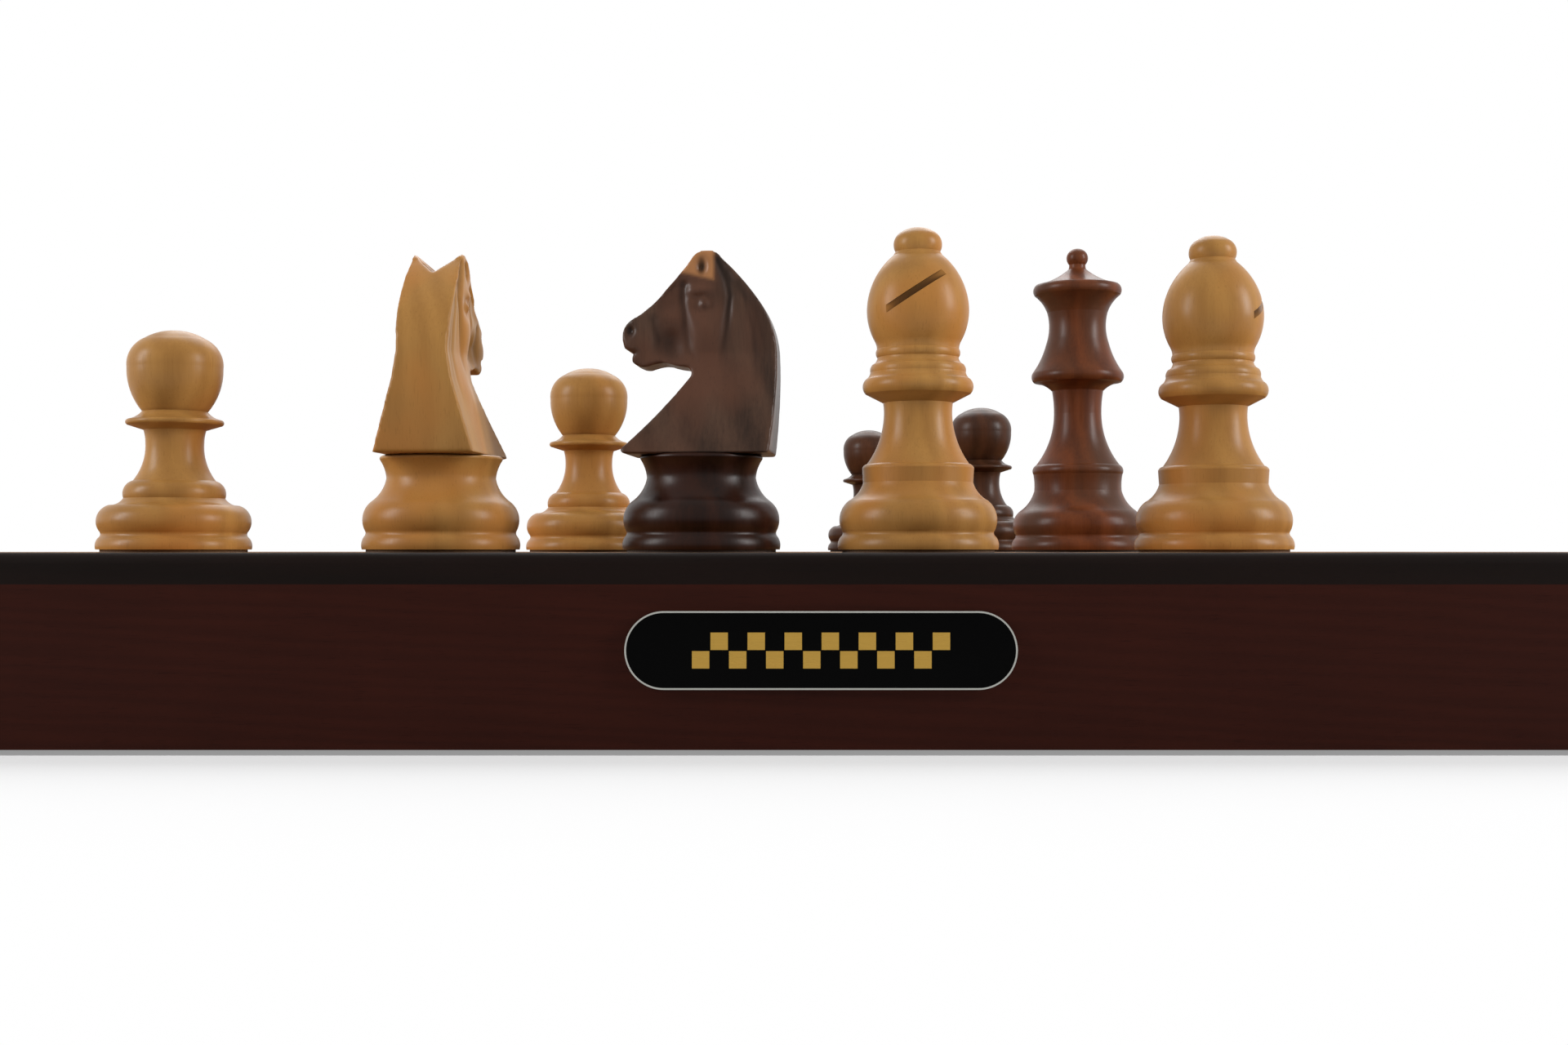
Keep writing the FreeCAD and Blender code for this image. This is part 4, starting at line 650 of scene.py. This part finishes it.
def knight_space(node, heading):
    """The way from the frame to a knight's own millimetres, with its nose along +X."""
    low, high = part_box(f"{node}_coil")
    centre = Vector(((low.x + high.x) / 2, (low.y + high.y) / 2, BOARD_TOP))
    unturned = Matrix.Rotation(-math.radians(heading), 4, "Z")
    return Matrix.Scale(1 / MM, 4) @ unturned @ Matrix.Translation(-centre)


def split_knight(node, to_local):
    """A knight's plain head, cut off at its seat, and the profile of its turned base."""
    head = bmesh.new()
    head.from_mesh(NODES[node].data)
    bmesh.ops.transform(head, matrix=to_local, verts=head.verts)
    bmesh.ops.remove_doubles(head, verts=head.verts, dist=SAME_POINT)
    profile = turned_profile([vertex.co for vertex in head.verts])
    everything = head.verts[:] + head.edges[:] + head.faces[:]
    level = {"plane_co": (0, 0, SEAT - SEAT_LAP), "plane_no": (0, 0, 1)}
    bmesh.ops.bisect_plane(head, geom=everything, clear_inner=True, **level)
    rim = [edge for edge in head.edges if edge.is_boundary]
    bmesh.ops.holes_fill(head, edges=rim)
    plain = bpy.data.meshes.new(f"{node}_plain")
    head.to_mesh(plain)
    head.free()
    return plain, profile


def carved_head(plain, is_dark):
    """A head with its carving, and the layer of marks: painted shade red, ear patch green, base
    blue.
    """
    head = bmesh.new()
    head.from_mesh(refined_skin(plain))
    for factor in SKIN_SMOOTHING:
        smooth(head, factor)
    head.normal_update()
    marks = head.verts.layers.float_color.new("carving")
    for vertex in head.verts:
        sideways = held((abs(vertex.normal.y) - SIDEWAYS) / SIDEWAYS_RISE)
        spot = vertex.co
        depth, shade = carving(spot.x, spot.z)
        # Red holds the painted shade of the cuts and hollows, green the pale ear patch
        vertex[marks] = (shade * sideways, ear_patch(spot.x, spot.z) * is_dark, 0.0, 1.0)
        vertex.co = spot - vertex.normal * depth * sideways
    smooth(head, CUT_SMOOTHING)
    return head, marks


def carve_knight(node, heading):
    """Replaces a knight's plain solid by the carved one."""
    is_dark = node in DARK_PIECES
    to_local = knight_space(node, heading)
    plain, profile = split_knight(node, to_local)
    knight, marks = carved_head(plain, is_dark)
    for vertex in add_lathe(knight, profile + [(SEAT, BASE_TOP_RADIUS)]):
        vertex[marks] = (0.0, 0.0, float(is_dark), 1.0)
    bmesh.ops.transform(knight, matrix=to_local.inverted(), verts=knight.verts)
    mesh = bpy.data.meshes.new(f"{node}_carved")
    knight.to_mesh(mesh)
    knight.free()
    mesh.materials.append(NODES[node].data.materials[0])
    mesh.shade_smooth()
    mesh.set_sharp_from_angle(angle=math.radians(CARVED_SHARP_EDGE))
    add_piece(f"{node}_carved", mesh, node, node)


for knight_node, knight_heading in KNIGHT_HEADINGS.items():
    carve_knight(knight_node, knight_heading)


# Small printed and inlaid pieces, in millimetres


def raised_shapes(name, outlines, to_world, thickness, material):
    """Flat outlines in millimetres, raised by a thickness in metres and taken to their place."""
    shapes = bmesh.new()
    for outline in outlines:
        bottom = [shapes.verts.new((x * MM, y * MM, 0)) for x, y in outline]
        top = [shapes.verts.new((x * MM, y * MM, thickness)) for x, y in outline]
        shapes.faces.new(top)
        shapes.faces.new(bottom[::-1])
        for index in range(len(outline)):
            after = (index + 1) % len(outline)
            shapes.faces.new((bottom[index], bottom[after], top[after], top[index]))
    bmesh.ops.transform(shapes, matrix=to_world, verts=shapes.verts)
    mesh = bpy.data.meshes.new(name)
    shapes.to_mesh(mesh)
    shapes.free()
    mesh.materials.append(material)
    return mesh


def block(x, y, width, height):
    """A rectangle about a middle point."""
    return [(x - width / 2, y - height / 2), (x + width / 2, y - height / 2),
            (x + width / 2, y + height / 2), (x - width / 2, y + height / 2)]


CHECK_COLUMNS = 14
CHECK_ROWS = 2
CHECK_STEP = 3.2
CHECK_SIDE = 0.94 * CHECK_STEP
GILDING = 0.06
KEY_PRINT = 0.04
SIGN_RADIUS = 1.8
SIGN_STEPS = 24
SIGN_TURNS = [2 * math.pi * step / SIGN_STEPS for step in range(SIGN_STEPS)]
KEY_SIGNS = {
    "back_key": [block(0, 0, 3.6, 0.8)],
    "left_key": [[(1.6, -1.7), (1.6, 1.7), (-1.8, 0.0)]],
    "right_key": [[(-1.6, -1.7), (1.8, 0.0), (-1.6, 1.7)]],
    "up_key": [[(-1.8, -1.4), (1.8, -1.4), (0.0, 1.8)]],
    "enter_key": [
        [(SIGN_RADIUS * math.cos(turn), SIGN_RADIUS * math.sin(turn)) for turn in SIGN_TURNS],
    ],
}
DISPLAY_PRINT = 0.03
PANE_GAP = 0.2
# The clock's figures: where they start, their step, and the room for the colon after the second
CLOCK = "12530"
FIRST_FIGURE = -18.0
FIGURE_STEP = 8.0
COLON_ROOM = 4.0
COLON = [block(-4.0, 1.2, 0.8, 0.8), block(-4.0, -1.2, 0.8, 0.8)]
SEGMENTS = {"0": "abcdef", "1": "bc", "2": "abged", "3": "abgcd", "5": "afgcd"}
SEGMENT_LENGTH = 2.4
SEGMENT_WIDTH = 0.6
# Middle of each segment, and whether it lies level
SEGMENT_PLACES = {
    "a": (0.0, 3.0, True), "g": (0.0, 0.0, True), "d": (0.0, -3.0, True),
    "b": (1.6, 1.5, False), "c": (1.6, -1.5, False),
    "e": (-1.6, -1.5, False), "f": (-1.6, 1.5, False),
}


def add_plate_ornament():
    """A plain gold chequer on the nameplate."""
    low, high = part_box("nameplate_face")
    middle = (low + high) / 2
    checks = []
    for column in range(CHECK_COLUMNS):
        for row in range(CHECK_ROWS):
            if (column + row) % 2 == 0:
                x = (column - (CHECK_COLUMNS - 1) / 2) * CHECK_STEP
                y = (row - (CHECK_ROWS - 1) / 2) * CHECK_STEP
                checks.append(block(x, y, CHECK_SIDE, CHECK_SIDE))
    upright = Matrix.Rotation(math.radians(90), 4, "X")
    to_world = Matrix.Translation((middle.x, low.y, middle.z)) @ upright
    gold = metal("plate_gold", rgb(176, 140, 66), rough=0.32, along="X")
    chequer = raised_shapes("plate_chequer", checks, to_world, GILDING * MM, gold)
    add_piece("plate_chequer", chequer, "board")


def add_key_signs():
    """Plain printed signs on the keys."""
    ink = plastic("key_ink", rgb(214, 214, 208), rough=0.5, texture=0.1)
    for key, outlines in KEY_SIGNS.items():
        low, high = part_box(key)
        to_world = Matrix.Translation(((low.x + high.x) / 2, (low.y + high.y) / 2, high.z))
        sign = raised_shapes(f"{key}_sign", outlines, to_world, KEY_PRINT * MM, ink)
        add_piece(f"{key}_sign", sign, key)


def clock_outlines():
    """Every lit segment of the clock, and its colon."""
    outlines = []
    for number, figure in enumerate(CLOCK):
        left = FIRST_FIGURE + FIGURE_STEP * number + (COLON_ROOM if number > 1 else 0.0)
        for segment in SEGMENTS[figure]:
            x, y, is_level = SEGMENT_PLACES[segment]
            size = (SEGMENT_LENGTH, SEGMENT_WIDTH) if is_level else (SEGMENT_WIDTH, SEGMENT_LENGTH)
            outlines.append(block(left + x, y, *size))
    return outlines + COLON


def add_display():
    """The clock's figures, and the clear window over them."""
    low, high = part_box("display_module")
    middle = (low + high) / 2
    turned = Matrix.Rotation(math.radians(90), 4, "Z")
    to_world = Matrix.Translation((middle.x, middle.y, high.z)) @ turned
    ink = plastic("display_ink", rgb(28, 32, 26), rough=0.5, texture=0.05)
    figures = raised_shapes("display_figures", clock_outlines(), to_world, DISPLAY_PRINT * MM, ink)
    add_piece("display_figures", figures, "board")
    low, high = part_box("display_window")
    middle = (low + high) / 2
    outline = [block(0, 0, (high.x - low.x) / MM, (high.y - low.y) / MM)]
    gap = PANE_GAP * MM
    to_world = Matrix.Translation((middle.x, middle.y, low.z + gap))
    glass = clear("window_glass", (0.9, 0.93, 0.9, 1))
    pane = raised_shapes("window_pane", outline, to_world, high.z - low.z - gap, glass)
    add_piece("window_pane", pane, "board", "display_window")


add_plate_ornament()
add_key_signs()
add_display()


# Stage: floor, light, camera

FLOOR_REACH = 6
PAPER_MOTTLE = 4.0
# The floor's share of white to the camera, near the board and away from it, and where that is
WHITE_NEAR, WHITE_AWAY = 0.3, 0.98
NEAR, AWAY = 10 * MM, 110 * MM
AMBIENT = 0.22
# The photograph's view, in millimetres from the middle of the board and from its top
CAMERA_PLACE = (-6.4, -585.8, 0.3)
CAMERA_TILT = 90.87
FOCAL_LENGTH = 43.1
SENSOR_WIDTH = 36
FRONT_PIECES = (0, -0.12, 0.07)
# Place, target, size and power of each lamp
LAMPS = {
    "left_softbox": ((-1.05, -0.5, 0.45), FRONT_PIECES, (0.3, 0.6), 9),
    "right_softbox": ((1.05, -0.5, 0.45), FRONT_PIECES, (0.3, 0.6), 11),
    "overhead": ((0, 0.9, 1.3), (0, 0, 0), (1.4, 1.4), 16),
}


def make_floor():
    """A wide pale floor, white to the camera apart from the shadow on it."""
    mesh = bpy.data.meshes.new("floor")
    corners = [(-1, -1), (1, -1), (1, 1), (-1, 1)]
    spots = [(x * FLOOR_REACH, y * FLOOR_REACH, 0) for x, y in corners]
    mesh.from_pydata(spots, [], [(0, 1, 2, 3)])
    floor = bpy.data.objects.new("floor", mesh)
    bpy.context.scene.collection.objects.link(floor)
    graph = Graph("floor_paper")
    mottle = graph.grain(graph.place(), PAPER_MOTTLE, detail=2.0)
    pale = graph.blend(mottle, (0.86, 0.86, 0.86, 1), (0.9, 0.9, 0.9, 1))
    graph.finish(Base_Color=pale, Roughness=0.9)
    seen = graph.add("LightPath").outputs["Is Camera Ray"]
    glow = graph.add("Emission", {"Color": (1, 1, 1, 1), "Strength": 1.0})
    sides = graph.sides()
    away = graph.combine(graph.size(sides["X"]), graph.size(sides["Y"]), "MAXIMUM")
    edge = CAD_BOX[1].x
    white = graph.span(away, edge + NEAR, edge + AWAY, WHITE_NEAR, WHITE_AWAY)
    share = graph.combine(seen, white, "MULTIPLY")
    fade = graph.add("MixShader", {0: share, 1: graph.shader.outputs[0], 2: glow.outputs[0]})
    graph.feed(graph.tree.nodes["Material Output"].inputs["Surface"], fade.outputs[0])
    mesh.materials.append(graph.material)


def make_world():
    """Soft light from all round, seen as white."""
    world = bpy.data.worlds.new("studio")
    bpy.context.scene.world = world
    world.use_nodes = True
    tree = world.node_tree
    paths = tree.nodes.new("ShaderNodeLightPath")
    shown = tree.nodes.new("ShaderNodeBackground")
    shown.inputs["Color"].default_value = (1, 1, 1, 1)
    shown.inputs["Strength"].default_value = 1.0
    ambient = tree.nodes["Background"]
    ambient.inputs["Color"].default_value = (0.95, 0.97, 1, 1)
    ambient.inputs["Strength"].default_value = AMBIENT
    mix = tree.nodes.new("ShaderNodeMixShader")
    seen = paths.outputs["Is Camera Ray"]
    for kind in ("Is Glossy Ray", "Is Transmission Ray"):
        either = tree.nodes.new("ShaderNodeMath")
        either.operation = "MAXIMUM"
        tree.links.new(seen, either.inputs[0])
        tree.links.new(paths.outputs[kind], either.inputs[1])
        seen = either.outputs[0]
    tree.links.new(seen, mix.inputs[0])
    tree.links.new(ambient.outputs[0], mix.inputs[1])
    tree.links.new(shown.outputs[0], mix.inputs[2])
    tree.links.new(mix.outputs[0], tree.nodes["World Output"].inputs["Surface"])


def make_camera():
    """The photograph's view: straight on to the front edge, level with the board's top."""
    lens = bpy.data.cameras.new("camera")
    lens.sensor_width = SENSOR_WIDTH
    lens.lens = FOCAL_LENGTH
    lens.clip_start = 0.01
    camera = bpy.data.objects.new("camera", lens)
    x, y, height = CAMERA_PLACE
    camera.location = (x * MM, y * MM, BOARD_TOP + height * MM)
    camera.rotation_euler = (math.radians(CAMERA_TILT), 0, 0)
    bpy.context.scene.collection.objects.link(camera)
    bpy.context.scene.camera = camera


def area_light(name, place, target, size, power):
    """A soft light aimed at a point."""
    lamp = bpy.data.lights.new(name, "AREA")
    lamp.shape = "RECTANGLE"
    lamp.size, lamp.size_y = size
    lamp.energy = power
    light = bpy.data.objects.new(name, lamp)
    light.location = place
    aim = Vector(target) - Vector(place)
    light.rotation_euler = aim.to_track_quat("-Z", "Y").to_euler()
    bpy.context.scene.collection.objects.link(light)


make_floor()
make_world()
make_camera()
for lamp_name, lamp_values in LAMPS.items():
    area_light(lamp_name, *lamp_values)
bpy.context.scene.view_settings.view_transform = "Standard"
